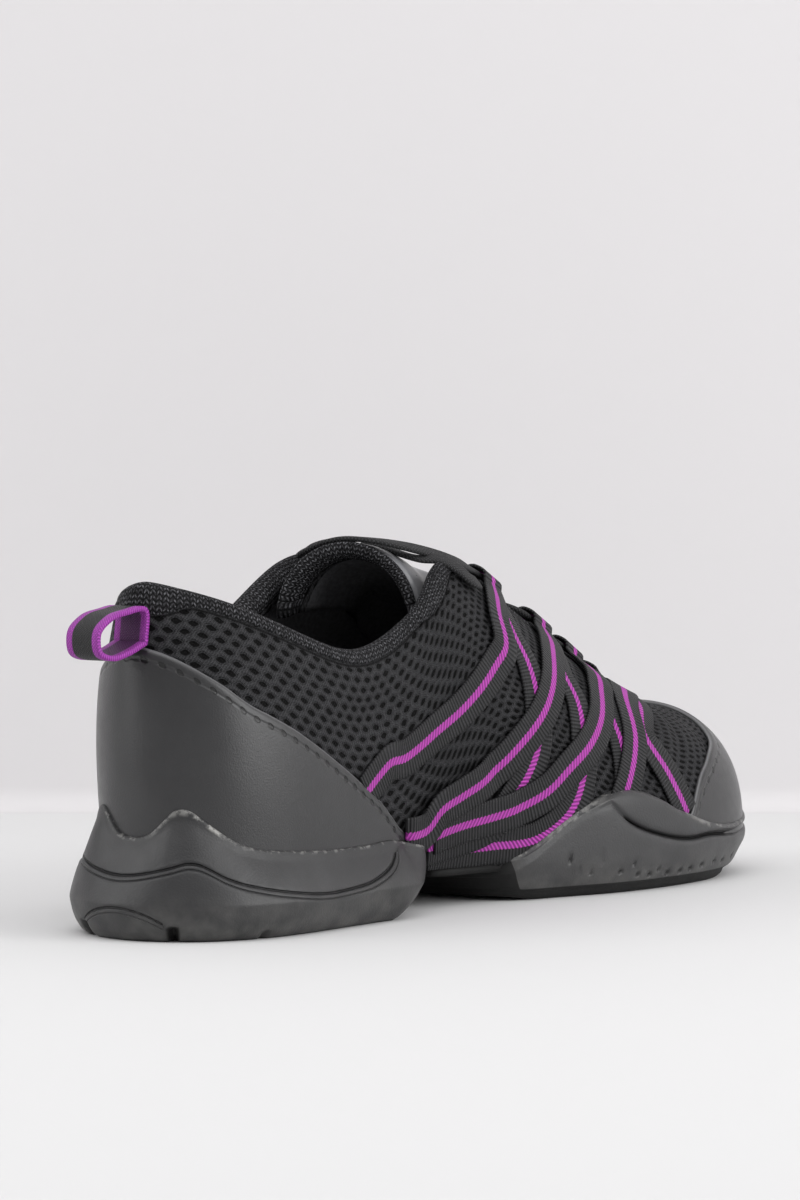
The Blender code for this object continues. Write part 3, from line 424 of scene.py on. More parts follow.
# Polyester spacer mesh, matt and dark: holes between raised, twisted threads, and chain knitting along
# the top edge. The threads are drawn a little coarser than they are, so that they show.
def makeMeshCloth():
    look = upperLook
    made, add = newFinish("blackSpacerMesh")
    u, v, spot = coordinates(add)
    wobble = add("MULTIPLY_ADD", add("TexNoise", spot, 120, 2), 1.2, -0.6)
    away = awayFromHoles(add, add("ADD", u, wobble), add("ADD", v, wobble), look)
    away = add("ADD", away, add("MULTIPLY_ADD", add("TexNoise", spot, 900, 2), 0.5, -0.25))
    hole = add("MapRange", away, 0.7, 1.15, 1.0, 0.0)
    swell = add("MapRange", away, 0.9, 2.1)
    # threads run round the holes, and each is twisted; swell paints the raised threads away from the holes
    # lighter, a painted highlight
    lit = add("MULTIPLY", ribs(add, add("MULTIPLY_ADD", v, 0.7, u), 0.8), 0.3)
    fuzz = add("MapRange", add("TexNoise", spot, 2200, 2), 0.35, 0.7)
    for part, share in ((ribs(add, away, 0.5), 0.35), (fuzz, 0.3), (swell, 0.2)):
        lit = add("MULTIPLY_ADD", part, share, lit)
    cloth = add("Mix", lit, linear(look["ground"]), linear(look["thread"]))
    cloth = add("Mix", hole, cloth, linear(look["hole"]))
    knitEdge = add("Attribute", output="Fac", attribute_name="knit")
    knitted = add("MapRange", knitEdge, -0.25, 0.25, 1.0, 0.0)
    # each column of knitting leans one way in its left half and the other way in its right half
    lean = add("ABSOLUTE", add("SUBTRACT", add("FRACT", add("DIVIDE", u, look["knitPitch"])), 0.5))
    column = add("MULTIPLY", add("MapRange", lean, 0.0, 0.14), add("MapRange", lean, 0.4, 0.5, 1.0, 0.0))
    stitch = add("MULTIPLY", ribs(add, add("MULTIPLY_ADD", lean, 1.9, v), look["knitRow"]), column)
    fleck = add("MULTIPLY_ADD", add("MapRange", add("TexNoise", spot, 1500, 3), 0.4, 0.68), 0.8, 0.2)
    knit = add("Mix", add("MULTIPLY", stitch, fleck), linear(look["knitDark"]), linear(look["knitLight"]))
    seam = add("MULTIPLY", lineAt(add, knitEdge, 0.45, 0.6), 0.85)
    colour = add("Mix", seam, add("Mix", knitted, cloth, knit), linear(look["hole"]))
    meshHeight = add("SUBTRACT", add("MULTIPLY_ADD", swell, 0.7, add("MULTIPLY", lit, 0.4)), hole)
    height = add("Mix", knitted, meshHeight, add("MULTIPLY", stitch, 0.6), data_type="FLOAT")
    return finishShader(made, colour, 0.7, height, 0.9, specular=0.12)


# Brushed polyester cloth, soft and matt
def makeLining(name, code, scale=900):
    made, add = newFinish(name)
    grain = add("TexNoise", add("TexCoord", output="Object"), scale, 3)
    return finishShader(made, add("Mix", grain, linear("#262627"), linear(code)), 0.92, grain, 0.25)


# Sizes in mm: a stitch hole's distance from the edge, its pitch, and its half length and half width
leatherLook = {
    "base": "#272728", "worn": "#383839", "lip": "#7c7c7e", "hole": "#030303",
    "stitchIn": 3.0, "stitchPitch": 4.6, "stitchLong": 1.05, "stitchWide": 0.8,
}


# Coated leather, satin with a fine grain: a pale folded edge, and a row of stitch holes along it
def makeLeather(name, base, worn, rough=0.35):
    look = leatherLook
    made, add = newFinish(name)
    u, _, spot = coordinates(add)
    edge = add("Attribute", output="Fac", attribute_name="edge")
    beat = add("SUBTRACT", add("FRACT", add("DIVIDE", u, look["stitchPitch"])), 0.5)
    along = add("MULTIPLY", beat, look["stitchPitch"] / look["stitchLong"])
    across = add("DIVIDE", add("SUBTRACT", edge, look["stitchIn"]), look["stitchWide"])
    hole = add("MULTIPLY_ADD", along, along, add("MULTIPLY", across, across))
    hole = add("MapRange", hole, 0.6, 1.2, 1.0, 0.0)
    lip = add("MapRange", edge, 0.15, 0.75, 1.0, 0.0)
    cloud = add("MapRange", add("TexNoise", spot, 45, 4, 0.6), 0.35, 0.75)
    colour = painted(add, base, (cloud, 0.3, worn), (lip, 0.6, look["lip"]), (hole, 0.97, look["hole"]))
    roughness = add("MULTIPLY_ADD", add("TexNoise", spot, 300, 2), 0.16, rough - 0.08)
    height = add("MULTIPLY", add("TexNoise", spot, 2200, 3), 0.14)
    height = add("MULTIPLY_ADD", lineAt(add, edge, look["stitchIn"], 0.7), -0.25, height)
    height = add("MULTIPLY_ADD", hole, -0.9, height)
    return finishShader(made, colour, roughness, height, 0.5, coat=0.12, coatRoughness=0.35)


# Colours, of which light and dark are the ribs' crests and grooves with painted highlight and shade, and
# sizes in mm: the ribs' pitch and half of the stripe's width
ribbonLook = {
    "light": "#2f2f31", "dark": "#080809", "purple": "#c046b6", "deep": "#83287f",
    "rib": 1.05, "stripe": 0.95,
}


# Polyester grosgrain: ribs across the ribbon, and a twill stripe with ragged edges down its middle
def makeGrosgrain():
    look = ribbonLook
    made, add = newFinish("stripedGrosgrain")
    u, v, _ = coordinates(add)
    rib = ribs(add, v, look["rib"])
    side = add("ABSOLUTE", u)
    twill = ribs(add, add("MULTIPLY_ADD", u, 0.7, v), 1.3)
    ragged = add("MULTIPLY_ADD", twill, -0.22, side)
    stripe = add("MapRange", ragged, look["stripe"] - 0.2, look["stripe"] + 0.1, 1.0, 0.0)
    # painted highlight and shade: the ribs' crests are painted lighter and their grooves darker, over the
    # ribs' bump
    black = add("Mix", rib, linear(look["dark"]), linear(look["light"]))
    purple = add("Mix", twill, linear(look["deep"]), linear(look["purple"]))
    height = add("Mix", stripe, rib, twill, data_type="FLOAT")
    height = add("MULTIPLY_ADD", add("MapRange", side, 4.0, 4.6), 0.5, height)
    return finishShader(made, add("Mix", stripe, black, purple), 0.62, height, 0.3, specular=0.35)


# line is the near black painted into moulded lines, notches and pits as shade
rubberLook = {
    "heel": "#272728", "front": "#303031", "cloud": "#3d3d3e", "scuff": "#a9a8a4", "dustAndFloorLight": "#6f6e6b",
    "line": "#040404",
}


# Moulded rubber, satin: moulded lines and small pits painted dark as shade, dust towards the floor with
# painted light from the floor in it, and flecks of glue and light scuffs along its rim
def makeRubber(name, base, darkBelow):
    look = rubberLook
    made, add = newFinish(name)
    spot = add("TexCoord", output="Object")
    marks = ("rim", "worn", "height", "groove", "oval", "pit")
    readMark = functools.partial(add, "Attribute", output="Fac")
    rim, worn, tall, groove, oval, line = (readMark(attribute_name=mark) for mark in marks)
    cloud = add("MapRange", add("TexNoise", spot, 60, 4, 0.6), 0.35, 0.8)
    glue = add("MULTIPLY", add("MapRange", add("TexNoise", spot, 520, 4, 0.65), 0.5, 0.62), 0.45)
    glue = add("MULTIPLY", glue, add("MapRange", rim, 0.25, 1.1, 1.0, 0.0))
    scuff = add("MULTIPLY", worn, add("MapRange", add("TexNoise", spot, 380, 4, 0.6), 0.4, 0.6))
    scuff = add("MULTIPLY", scuff, add("MapRange", rim, 0.7, 2.0, 1.0, 0.0))
    pale = add("MAXIMUM", glue, scuff)
    # dust towards the floor: real dust, and painted light from the floor's bounce, which lightens the sole's
    # lower side
    dustAndFloorLight = add("MapRange", add("TexNoise", spot, 160, 4), 0.25, 0.8)
    dustAndFloorLight = add("MULTIPLY", dustAndFloorLight, add("MapRange", tall, 2.0, 15, 1.0, 0.0))
    # black below darkBelow: the sole's dark bottom, and painted shade where a sole lowers its height mark, as
    # under the front sole's arch
    blackLayerAndShade = add("MapRange", tall, darkBelow - 0.4, darkBelow, 1.0, 0.0)
    # each moulded line has a fainter one below it
    for value, half in ((groove, 0.42), (oval, 0.45)):
        line = add("MAXIMUM", line, lineAt(add, value, 0.0, half))
        line = add("MAXIMUM", line, add("MULTIPLY", lineAt(add, value, -1.4, 0.28), 0.5))
    layers = ((cloud, 0.5, look["cloud"]), (pale, 0.8, look["scuff"]), (dustAndFloorLight, 0.42, look["dustAndFloorLight"]))
    colour = painted(add, base, *layers)
    # painted shade: the moulded lines, notches and pits are painted near black over their dents
    black = add("MAXIMUM", add("MULTIPLY", line, 0.75), blackLayerAndShade)
    colour = add("Mix", black, colour, linear(look["line"]))
    roughness = add("MULTIPLY_ADD", add("TexNoise", spot, 200, 3), 0.2, 0.34)
    roughness = add("MULTIPLY_ADD", blackLayerAndShade, 0.3, roughness)
    height = add("SUBTRACT", add("MULTIPLY", add("TexNoise", spot, 1800, 3), 0.12), line)
    return finishShader(made, colour, roughness, add("MULTIPLY_ADD", pale, 0.25, height), 0.6)


# Flat woven polyester lace, matt
def makeLaceCloth():
    made, add = newFinish("blackFlatLace")
    u, v, _ = coordinates(add)
    threads = plait(add, u, v, 0.95)
    colour = add("Mix", threads, linear("#0c0c0d"), linear("#3e3e41"))
    return finishShader(made, colour, 0.75, threads, 0.35)


# Woven polyester tab: its middle in one colour, and its edges purple
def makeTabCloth(name, dark, light):
    made, add = newFinish(name)
    u, v, _ = coordinates(add)
    threads = plait(add, u, v, 0.8)
    middle = add("Mix", threads, linear(dark), linear(light))
    edges = add("Mix", threads, linear("#8a2b92"), linear("#c24cc6"))
    side = add("MapRange", add("ABSOLUTE", u), 3.0, 3.3)
    return finishShader(made, add("Mix", side, middle, edges), 0.55, threads, 0.25)


# Upper: outer wall, rounded crest and lining as one skin that closes on itself

# The wall as worn: a full knitted band with a seam below it, and soft folds. Each is a bell across
# a line, times smooth steps that end it.
def wearShape(wall, normals, edge, band):
    x, y, z = wall[:, :, 0], wall[:, :, 1], wall[:, :, 2]
    inner = smoothStep(-y, 2, 16)
    push = 0.45 * bump(edge, 0.5 * band, 0.45 * band) - 0.7 * bump(edge, band + 0.4, 0.7)
    push *= 1 - 0.75 * smoothStep(x, 118, 130)
    # soft folds: two behind the ball, one across the vamp, one below the collar's dip
    for slope, start, depth, half in ((0.9, 196, 0.8, 3.2), (0.9, 208, 0.6, 3.0), (0.35, 226, 0.7, 3.4)):
        push -= depth * bump(x - slope * (z - 40), start, half) * smoothStep(z, 22, 36)
    push -= 0.9 * bump(z - 0.25 * (x - 70), 52, 5) * bump(x, 78, 22) * inner
    push += 0.5 * bump(z - 0.2 * (x - 60), 60, 5) * bump(x, 70, 24) * inner
    return wall + normals * push[:, :, None]


# Rows of the outside, then a crest that is half an oval, then the lining back down
def makeUpper(cloth, lining):
    loop = loopThrough(spokes, 190, toeSpoke)
    steps = np.linspace(0, 1, 76) ** 0.9
    wall = wallSurface(loop, steps)
    normals = gridNormals(wall)
    height = travelled(wall, 0)
    edge = height[-1:] - height
    # the knitted band is wider at the collar's front corners and at the back of the heel
    topX = loop[:, 3]
    band = 1.7 + 5.5 * bump(topX, 110, 7) + 4.0 * (1 - smoothStep(topX, 10, 18))
    outer = wearShape(wall, normals, edge, band)
    inner = wall - normals * wallThickness(loop, steps)[:, :, None]
    turn = np.radians(np.linspace(0, 180, 11))[1:-1, None, None]
    middle = (outer[-1] + inner[-1]) / 2
    half = (outer[-1] - inner[-1]) / 2
    lift = np.array([0, 0, 1.0]) * np.linalg.norm(half, axis=1)[:, None] * 0.8
    crest = middle + half * np.cos(turn) + lift * np.sin(turn)
    rings = np.concatenate([outer, crest, inner[::-1]])
    halfway = len(steps) // 2
    girth = travelled(closedRound(wall[halfway : halfway + 1]), 1)[0]
    down = np.concatenate([edge, np.zeros((len(crest), edge.shape[1])), -edge[::-1]])
    marks = {"knit": np.abs(down) - band}
    gone = travelled(rings, 0)
    v = gone[len(outer) - 1] - gone
    v = closedRound(np.vstack([v, v[:1]]))
    # the mesh is finer towards the toe
    finer = 1 + 0.28 * smoothStep(wall[halfway, :, 0], 80, 130)
    around = np.append(finer, finer[0])
    v = v * around
    girth = np.concatenate([[0], np.cumsum(np.diff(girth) * finer)])
    piece = gridPiece("upperShell", rings, clothPlaces(girth, v), cloth,
                      wrapRows=True, wrapColumns=True, marks=marks)
    piece.data.materials.append(lining)
    row = np.arange(len(piece.data.polygons)) // rings.shape[1]
    chooseFinish(piece, row > len(outer) + len(crest) + 6)
    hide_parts("upper")
    makeArchCloth(loop, cloth)


# The cloth that closes the upper underneath, between the two soles
def makeArchCloth(loop, cloth):
    half = len(loop) // 2
    foot = loop[:, :3]
    inside = [i for i in range(1, half) if 92 <= foot[i, 0] <= 138]
    other = [2 * half - i for i in inside]
    left, right = (foot[part] - levelWays(outward(loop)[part]) * 0.3 for part in (inside, other))
    share = np.linspace(0, 1, 24)[None, :, None]
    sheet = left[:, None] * (1 - share) + right[:, None] * share
    sheet[:, :, 2] += 0.1 - 0.4 * np.sin(np.pi * share[:, :, 0])
    raised = sheet + np.array([0, 0, 2.0])
    ring = np.concatenate([sheet, raised[:, ::-1]], axis=1)
    uv = clothPlaces(np.arange(ring.shape[1] + 1) * 1.9, ring[:, :1, 0])
    gridPiece("archCloth", ring, uv, cloth, wrapColumns=True, caps=True, marks={"knit": 20.0})


# Leather pieces over the upper

overlayLook = {
    "counter": [(9, 73.5), (14, 69.5), (27, 58.7), (42, 51.6), (63, 39.8), (78, 31.2), (90, 21.3)],
    "cap": [(202, 17), (206, 24.6), (211, 30), (219, 34.5), (229, 38.5), (236, 43)],
    "gap": 0.3, "thick": 1.0,
}


# A layer on the upper where inside is true: from just over the upper to its own thickness, with a
# rounded edge. Its columns follow the upper's own.
def makeOverlay(name, node, inside, finish, startColumn):
    loop = np.roll(loopThrough(spokes, 300, toeSpoke), -startColumn, axis=0)
    fine = wallSurface(loop, np.linspace(0, 1, 160))
    last = len(fine) - 1
    normals = gridNormals(fine)
    covered = inside(fine[:, :, 0], fine[:, :, 2])
    tops = np.where(covered.all(axis=0), last, covered.argmin(axis=0))
    picked = np.flatnonzero(covered[0] & (tops > 3))
    picked = picked[picked[0] <= picked]
    tops = tops[picked].astype(float)
    tops = np.convolve(np.pad(tops, 3, mode="edge"), np.ones(7) / 7, mode="valid")
    rows = 0.8 + np.linspace(0, 1, 46)[:, None] ** 0.8 * (tops - 0.8)[None, :]
    first = np.clip(rows.astype(int), 0, last - 1)
    rest = (rows - first)[:, :, None]
    at = np.broadcast_to(picked, rows.shape)
    points = fine[first, at] * (1 - rest) + fine[first + 1, at] * rest
    up = unit(normals[first, at] * (1 - rest) + normals[first + 1, at] * rest)
    height = travelled(points, 0)
    edge = height[-1:] - height
    rounded = 0.55 * (1 - smoothStep(edge, 0, 1.1))
    low = points + up * 0.05
    high = points + up * (overlayLook["gap"] + overlayLook["thick"] - rounded)[:, :, None]
    ring = np.concatenate([low, high[::-1]])
    edges = np.concatenate([edge, edge[::-1]])
    along = travelled(points[-1:], 1)
    uv = clothPlaces(along, np.vstack([edges, edges[:1]])).transpose(1, 0, 2)
    piece = gridPiece(name, ring.transpose(1, 0, 2), uv, finish,
                      wrapColumns=True, caps=True, marks={"edge": edges.T})
    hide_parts(node)


# The counter lies below a slanting edge at the heel, and the cap ahead of an edge at the toe
def makeOverlays(leather):
    counterX, counterZ = np.array(overlayLook["counter"], float).T
    capX, capZ = np.array(overlayLook["cap"], float).T
    makeOverlay("heelCounter", "heel_counter",
                lambda x, z: (z < np.interp(x, counterX, counterZ)) & (x < 91), leather, 300)
    makeOverlay("toeCap", "toe_cap", lambda x, z: (x > np.interp(z, capZ, capX)) & (x > 201.5), leather, 0)


# Soles

soleLook = {
    "heelPlan": [
        (0, 0), (6, -18), (20, -28.5), (45, -33), (72, -33), (97, -29), (104.5, -14),
        (105, 3), (103, 19), (94, 35), (70, 36.5), (45, 34.5), (20, 29), (6, 18),
    ],
    "heelFront": 7,
    "frontPlan": [
        (126, 4), (127.5, -18), (133, -30.5), (147, -36.5), (166, -43), (188, -46.5), (214, -46),
        (240, -38), (254.5, -24), (259.5, -8), (254.5, 8), (240, 21.5), (216, 34.5), (188, 43.5),
        (160, 47.5), (143, 46.5), (129, 41), (125.5, 24),
    ],
    "frontToe": 9,
    # height against distance round the outline from the back
    "heelRim": [
        (0, 25.6), (4.5, 26), (7, 26.8), (11, 29.4), (15.3, 32.4), (18, 33), (21, 32.6), (25.4, 30.4),
        (31.8, 26.8), (37, 24.3), (43, 22.6), (54, 21.4), (64, 20.7), (78, 20.2), (90, 20.2),
        (101, 20.6), (114, 18.5), (125, 16), (150, 14),
    ],
    "heelGroove": [
        (0, 16.5), (4, 16.7), (10.5, 17.7), (15.7, 18.8), (20.2, 19.8), (23.6, 19.4), (26.5, 18.2),
        (30.3, 16.3), (35, 14.6), (40, 13.4), (54, 11.1), (63, 10.2), (74, 10.4), (86, 11.7),
        (95.7, 15), (101, 18.2), (110, 18), (125, 14), (150, 12),
    ],
    # height against x
    "rimIn": [
        (125, 10.5), (133, 12), (141, 16), (149, 21), (158, 25.5), (171, 28.5), (184, 26), (196, 21),
        (214, 16), (232, 15.5), (248, 18), (260, 22),
    ],
    "rimOut": [
        (125, 11), (136, 17), (148, 25), (158, 28), (170, 26.5), (184, 21),
        (204, 16), (226, 15), (246, 18), (260, 22),
    ],
    "grooveIn": [
        (125, 9), (150, 22), (163, 26), (166.2, 23.1), (171, 19.7), (176.5, 17.4), (183.7, 15.4),
        (192, 13.8), (199, 13.2), (208, 13.6), (220, 13), (234, 13.4), (248, 15), (260, 18.6),
    ],
    "grooveOut": [(125, 9), (148, 22), (160, 18), (176, 13.5), (198, 12), (224, 13), (260, 18)],
    # notches between the heel's lugs: distance round the back, depth, half width, height
    "notches": [(-16, 3.6, 1.3, 3.9), (-43, 1.2, 1.1, 2.2), (15, 3.6, 1.3, 3.9), (43, 1.2, 1.1, 2.2)],
    # an arched line round the back: its top, its half length and its fall
    "oval": (8.6, 14.5, 4.4),
    # pits low on the front sole's side: x, height, half size
    "pits": [
        (150.7, 10.6, 0.5), (154, 7.6, 0.45), (158, 6.6, 0.5), (161, 10.2, 0.8), (168, 6.3, 0.7),
        (172.5, 8.2, 0.45), (175, 5.0, 0.7), (180, 4.6, 0.8), (183.5, 5.8, 0.6), (188, 4.4, 0.9),
        (194, 4.4, 0.8), (199, 4.7, 0.9), (205, 5.2, 0.9), (212, 5.6, 0.7), (218, 5.4, 0.8),
        (226, 6, 0.7),
    ],
}


# One ring of a sole: its outline at a height, moved inwards by an inset and along x by a rake
def soleRing(plan, z, inset, rake=0.0):
    flat = plan[:, :2] - outward(plan) * np.broadcast_to(inset, len(plan))[:, None]
    flat[:, 0] += rake
    return np.column_stack([flat, np.broadcast_to(z, len(plan))])


# How far an outline lies outside the upper at a height, along its inward normal
def roomToUpper(plan, z):
    wall = wallSurface(loopThrough(spokes, 240, toeSpoke), np.linspace(0, 1, 120))
    z = np.broadcast_to(z, len(plan))
    level = np.abs(wall[:, None, :, 2] - z[None, :, None]).argmin(axis=0)
    loop = wall[level, np.arange(wall.shape[1])[None, :], :2] - plan[:, None, :2]
    normal = outward(plan)
    deep = -(loop * normal[:, None]).sum(axis=2)
    side = np.stack([-normal[:, 1], normal[:, 0]], axis=1)
    aside = np.abs((loop * side[:, None]).sum(axis=2)) + 100 * (np.abs(deep) > 20)
    room = deep[np.arange(len(plan)), aside.argmin(axis=1)]
    kernel = np.ones(7) / 7
    return np.convolve(np.pad(room, 3, mode="wrap"), kernel, mode="valid")


# Closely spaced rows through a few rings, with the corners softened
def softened(rings, between=4, passes=3):
    rings = np.array(rings)
    at = np.linspace(0, len(rings) - 1, (len(rings) - 1) * between + 1)
    low = np.clip(at.astype(int), 0, len(rings) - 2)
    rest = (at - low)[:, None, None]
    rows = rings[low] * (1 - rest) + rings[low + 1] * rest
    for _ in range(passes):
        rows[1:-1] = (rows[:-2] + 2 * rows[1:-1] + rows[2:]) / 4
    return rows


# Closes a sole over its side's rows, and rounds its rim in to the upper. lines holds marks of the
# side's rows, each with its value elsewhere, and dark is 1 where the rubber is painted black as shade,
# through a lowered height mark.
def finishSole(name, node, side, plan, room, rim, floor, finish, lines, dark=0.0):
    out = outward(plan)
    rimIn = side[-1].copy()
    rimIn[:, :2] = plan[:, :2] - out * (room + 0.5)[:, None]
    over = (side[-1] * 0.45 + rimIn * 0.55) + np.array([0, 0, 0.35])
    deep = rimIn.copy()
    deep[:, 2] = np.minimum(floor, rimIn[:, 2] - 1)
    rows = [side, over[None], rimIn[None], deep[None]]
    middle = deep.mean(axis=0)
    for share in (0.7, 0.4, 0.0):
        rows.append((middle + (deep - middle) * share)[None])
    base = side[0]
    baseMiddle = base.mean(axis=0)
    under = [(baseMiddle + (base - baseMiddle) * share)[None] for share in (0.0, 0.5, 0.9, 0.97)]
    grid = np.concatenate([*under, *rows])
    rimAway = np.abs(rim[None, :] - grid[:, :, 2])
    rimAway[: len(under)] = 20
    girth = travelled(closedRound(plan[None, :, :2]), 1)[0]
    uv = clothPlaces(girth, closedRound(grid)[:, :, 2])
    # dark lowers the height mark, so that the rubber paints shade there
    marks = {"rim": rimAway, "height": grid[:, :, 2] - 14 * dark}
    for line, (values, beyond) in lines.items():
        marks[line] = np.broadcast_to(beyond, grid.shape[:2]).astype(float)
        marks[line][len(under) : len(under) + len(side)] = values
    piece = gridPiece(name, grid, uv, finish, wrapColumns=True, marks=marks)
    changeMesh(piece.data, lambda work: bmesh.ops.remove_doubles(work, verts=work.verts, dist=1e-6))
    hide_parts(node)


# Rings from the floor to the wavy rim, less the dents of its moulded lines and of its lug notches
def makeHeelSole(finish):
    look = soleLook
    plan = loopThrough(look["heelPlan"], 200, look["heelFront"])
    girth = travelled(closedRound(plan[None]), 1)[0]
    total = girth[-1]
    girth = girth[:-1]
    fromBack = np.minimum(girth, total - girth)
    signed = np.where(girth < total / 2, -girth, total - girth)
    rim = curveThrough(look["heelRim"], fromBack)
    groove = curveThrough(look["heelGroove"], fromBack)
    front = smoothStep(plan[:, 0], 88, 101)
    room = roomToUpper(plan, rim)
    edge = np.clip(room - 1.8, 0.6, 7.4) * (1 - front) + 1.2 * front
    rake = -15.0 * smoothStep(plan[:, 0], 76, 101)
    rings = [
        soleRing(plan, 0, 4.6, rake),
        soleRing(plan, 1.0, 3.0, 0.82 * rake),
        soleRing(plan, 3.0, 1.7, 0.62 * rake),
        soleRing(plan, 5.5, 0.7, 0.42 * rake),
    ]
    for share in np.linspace(0, 1, 22):
        z = 9 + share * (rim - 9)
        step = 0.5 * smoothStep(z - groove, -0.2, 0.7) * (1 - smoothStep(z, rim - 3, rim))
        rings.append(soleRing(plan, z, edge * share**1.3 + step, 0.24 * rake * (1 - share) ** 2))
    rings.append(soleRing(plan, rim + 0.1, edge + 0.5))
    side = softened(rings)
    z = side[:, :, 2]
    out = levelWays(outward(plan))
    grooved = 1 - smoothStep(fromBack, 98, 108)
    grooveAway = z - groove
    grooveAway += np.sign(grooveAway) * 40 * (1 - grooved) ** 2
    top, half, fall = look["oval"]
    ovalAway = z - (top - fall * (signed / half) ** 2)
    ovalAway += np.sign(ovalAway) * 40 * smoothStep(np.abs(signed), half - 0.5, half + 1)
    dent = 0.5 * bump(grooveAway, 0, 0.5) + 0.2 * bump(grooveAway, -1.4, 0.4) + 0.35 * bump(ovalAway, 0, 0.45)
    pit = np.zeros_like(z)
    for where, depth, half, high in look["notches"]:
        notch = bump(signed, where, half)[None, :] * (1 - smoothStep(z, high - 0.5, high + 0.5))
        dent += depth * notch
        pit = np.maximum(pit, np.clip(1.6 * notch * depth / 3.6, 0, 1))
    side[1:] -= (out[None] * dent[:, :, None])[1:]
    side[0] -= out * dent[1][:, None] * 0.9
    worn = bump(signed, -27, 9)[None, :] + 0.35 * bump(signed, -12, 5)[None, :]
    # groove, oval and pit are painted dark as shade by the rubber
    lines = {"groove": (grooveAway, 40), "oval": (ovalAway, 40), "pit": (pit, 0), "worn": (worn, 0)}
    finishSole("heelSole", "heel_sole", side, plan, room, side[-1, :, 2], 13.2, finish, lines)


# Rings from the floor to a rim that rises over the ball and at the toe, less its pits and its line
def makeFrontSole(finish):
    look = soleLook
    plan = loopThrough(look["frontPlan"], 330, look["frontToe"])
    x = plan[:, 0]
    inner = plan[:, 1] < -6
    rim = np.where(inner, curveThrough(look["rimIn"], x), curveThrough(look["rimOut"], x))
    groove = np.where(inner, curveThrough(look["grooveIn"], x), curveThrough(look["grooveOut"], x))
    for curve in (rim, groove):
        curve[:] = np.convolve(np.pad(curve, 4, mode="wrap"), np.ones(9) / 9, mode="valid")
    groove = np.minimum(groove, rim - 2.4)
    grooved = smoothStep(x, 156, 172)
    rear = 1 - smoothStep(x, 129, 146)
    toe = smoothStep(x, 212, 250)
    room = roomToUpper(plan, rim)
    capRoom = 0.3 + 1.6 * smoothStep(x, 193, 199)
    edge = np.clip(room - capRoom - 1.4, 0.1, 4)
    rings = [
        soleRing(plan, 1.2 * rear, 5.0 + 3.5 * toe),
        soleRing(plan, 0.8 + 1.4 * rear, 4.0 + 3.5 * toe),
        soleRing(plan, 2.4 + 0.8 * rear, 3.3 + 4.0 * toe),
        soleRing(plan, 3.0 + 0.8 * rear, 2.4 + 2.6 * toe),
        soleRing(plan, 4.2 + 0.6 * rear, 1.8 + 1.9 * toe),
        soleRing(plan, 6.0 + 0.4 * rear + 1.2 * toe, 1.2 + 1.0 * toe),
        soleRing(plan, np.minimum(10.0, groove - 1.8), 0.2),
        soleRing(plan, groove - 0.9, 0.0),
        soleRing(plan, groove - 0.1, 0.1 + 1.4 * grooved),
        soleRing(plan, groove + 0.6, 0.2 + 0.9 * grooved),
        soleRing(plan, groove + 1.4, 0.3 + 0.2 * grooved),
        soleRing(plan, rim - 0.9, np.minimum(0.7, edge)),
        soleRing(plan, rim, edge + 0.5),
    ]
    side = softened(rings)
    z = side[:, :, 2]
    out = levelWays(outward(plan))
    grooveAway = z - groove
    grooveAway += np.sign(grooveAway) * 40 * (1 - grooved) ** 2
    pit = np.zeros_like(z)
    for where, high, half in look["pits"]:
        pit += bump(side[:, :, 0], where, half) * bump(z, high, 0.8 * half)
    side -= out[None] * (0.7 * pit + 0.5 * bump(grooveAway, 0, 0.6))[:, :, None]
    worn = 0.5 * bump(x, 152, 10)[None, :] + 0.4 * bump(x, 205, 8)[None, :]
    # painted shade: the rear of this sole lies in the shade under the arch, so it is painted nearly black
    dark = 1 - smoothStep(x, 130, 136)
    # groove and pit are painted dark as shade by the rubber
    lines = {
        "groove": (np.where(grooveAway < -1, -40, grooveAway), 40), "oval": (40, 40),
        "pit": (np.clip(pit, 0, 1), 0), "worn": (worn, 0),
    }
    finishSole("frontSole", "forefoot_sole", side, plan, room, side[-1, :, 2], 8.5, finish, lines, dark)


# Ribbons

ribbonTable = {
    1: {
        "loop": 143,
        "rear": [
            (134, 77), (132, 69.5), (125, 63), (118, 57.3), (111, 52.6), (102, 48), (94, 44),
            (88, 41.7), (82, 41), (77.5, 38.4), (70, 33),
        ],
        "front": [
            (140, 71.5), (141.5, 64), (141.5, 52), (139.5, 40), (133, 29.5), (123, 21.2), (113, 18.8),
            (101, 17.2),
        ],
    },
    2: {
        "loop": 171,
        "rear": [
            (156, 63.5), (149, 57), (143, 51), (134, 43.5), (122, 35.2), (111, 30.5), (103, 27.2),
            (98.5, 23), (88, 21),
        ],
        "front": [
            (160, 60), (160.5, 53), (159, 45), (157, 34.4), (152, 24), (142, 17.2), (126, 15.8),
            (103, 15.8),
        ],
    },
    3: {
        "loop": 188.5,
        "rear": [
            (175, 53.5), (168, 47), (160, 41), (151, 35.4), (143, 29.6), (134, 26), (124, 24),
            (113, 22.4), (101, 20),
        ],
        "front": [(175.5, 48), (175.5, 41), (175, 34), (173, 25)],
    },
    4: {
        "loop": 205.6,
        "rear": [(187, 50), (181.5, 40.5), (175, 31), (170, 24)],
        "front": [(188.5, 42), (194, 31.5), (201, 19)],
    },
}
ribbonSize = {"wide": 10.0, "thick": 0.6, "loopLift": 14.0, "base": 0.4, "lift": 0.75}
# Round a lace loop, across the throat's edge: distance inwards and height of the ribbon's middle layer
loopShape = [(0, 2.1), (0.9, 3.8), (3.4, 4.5), (6, 4.2), (7.4, 2.7), (6.4, 1.2), (3.5, 0.85), (0.6, 0.85)]


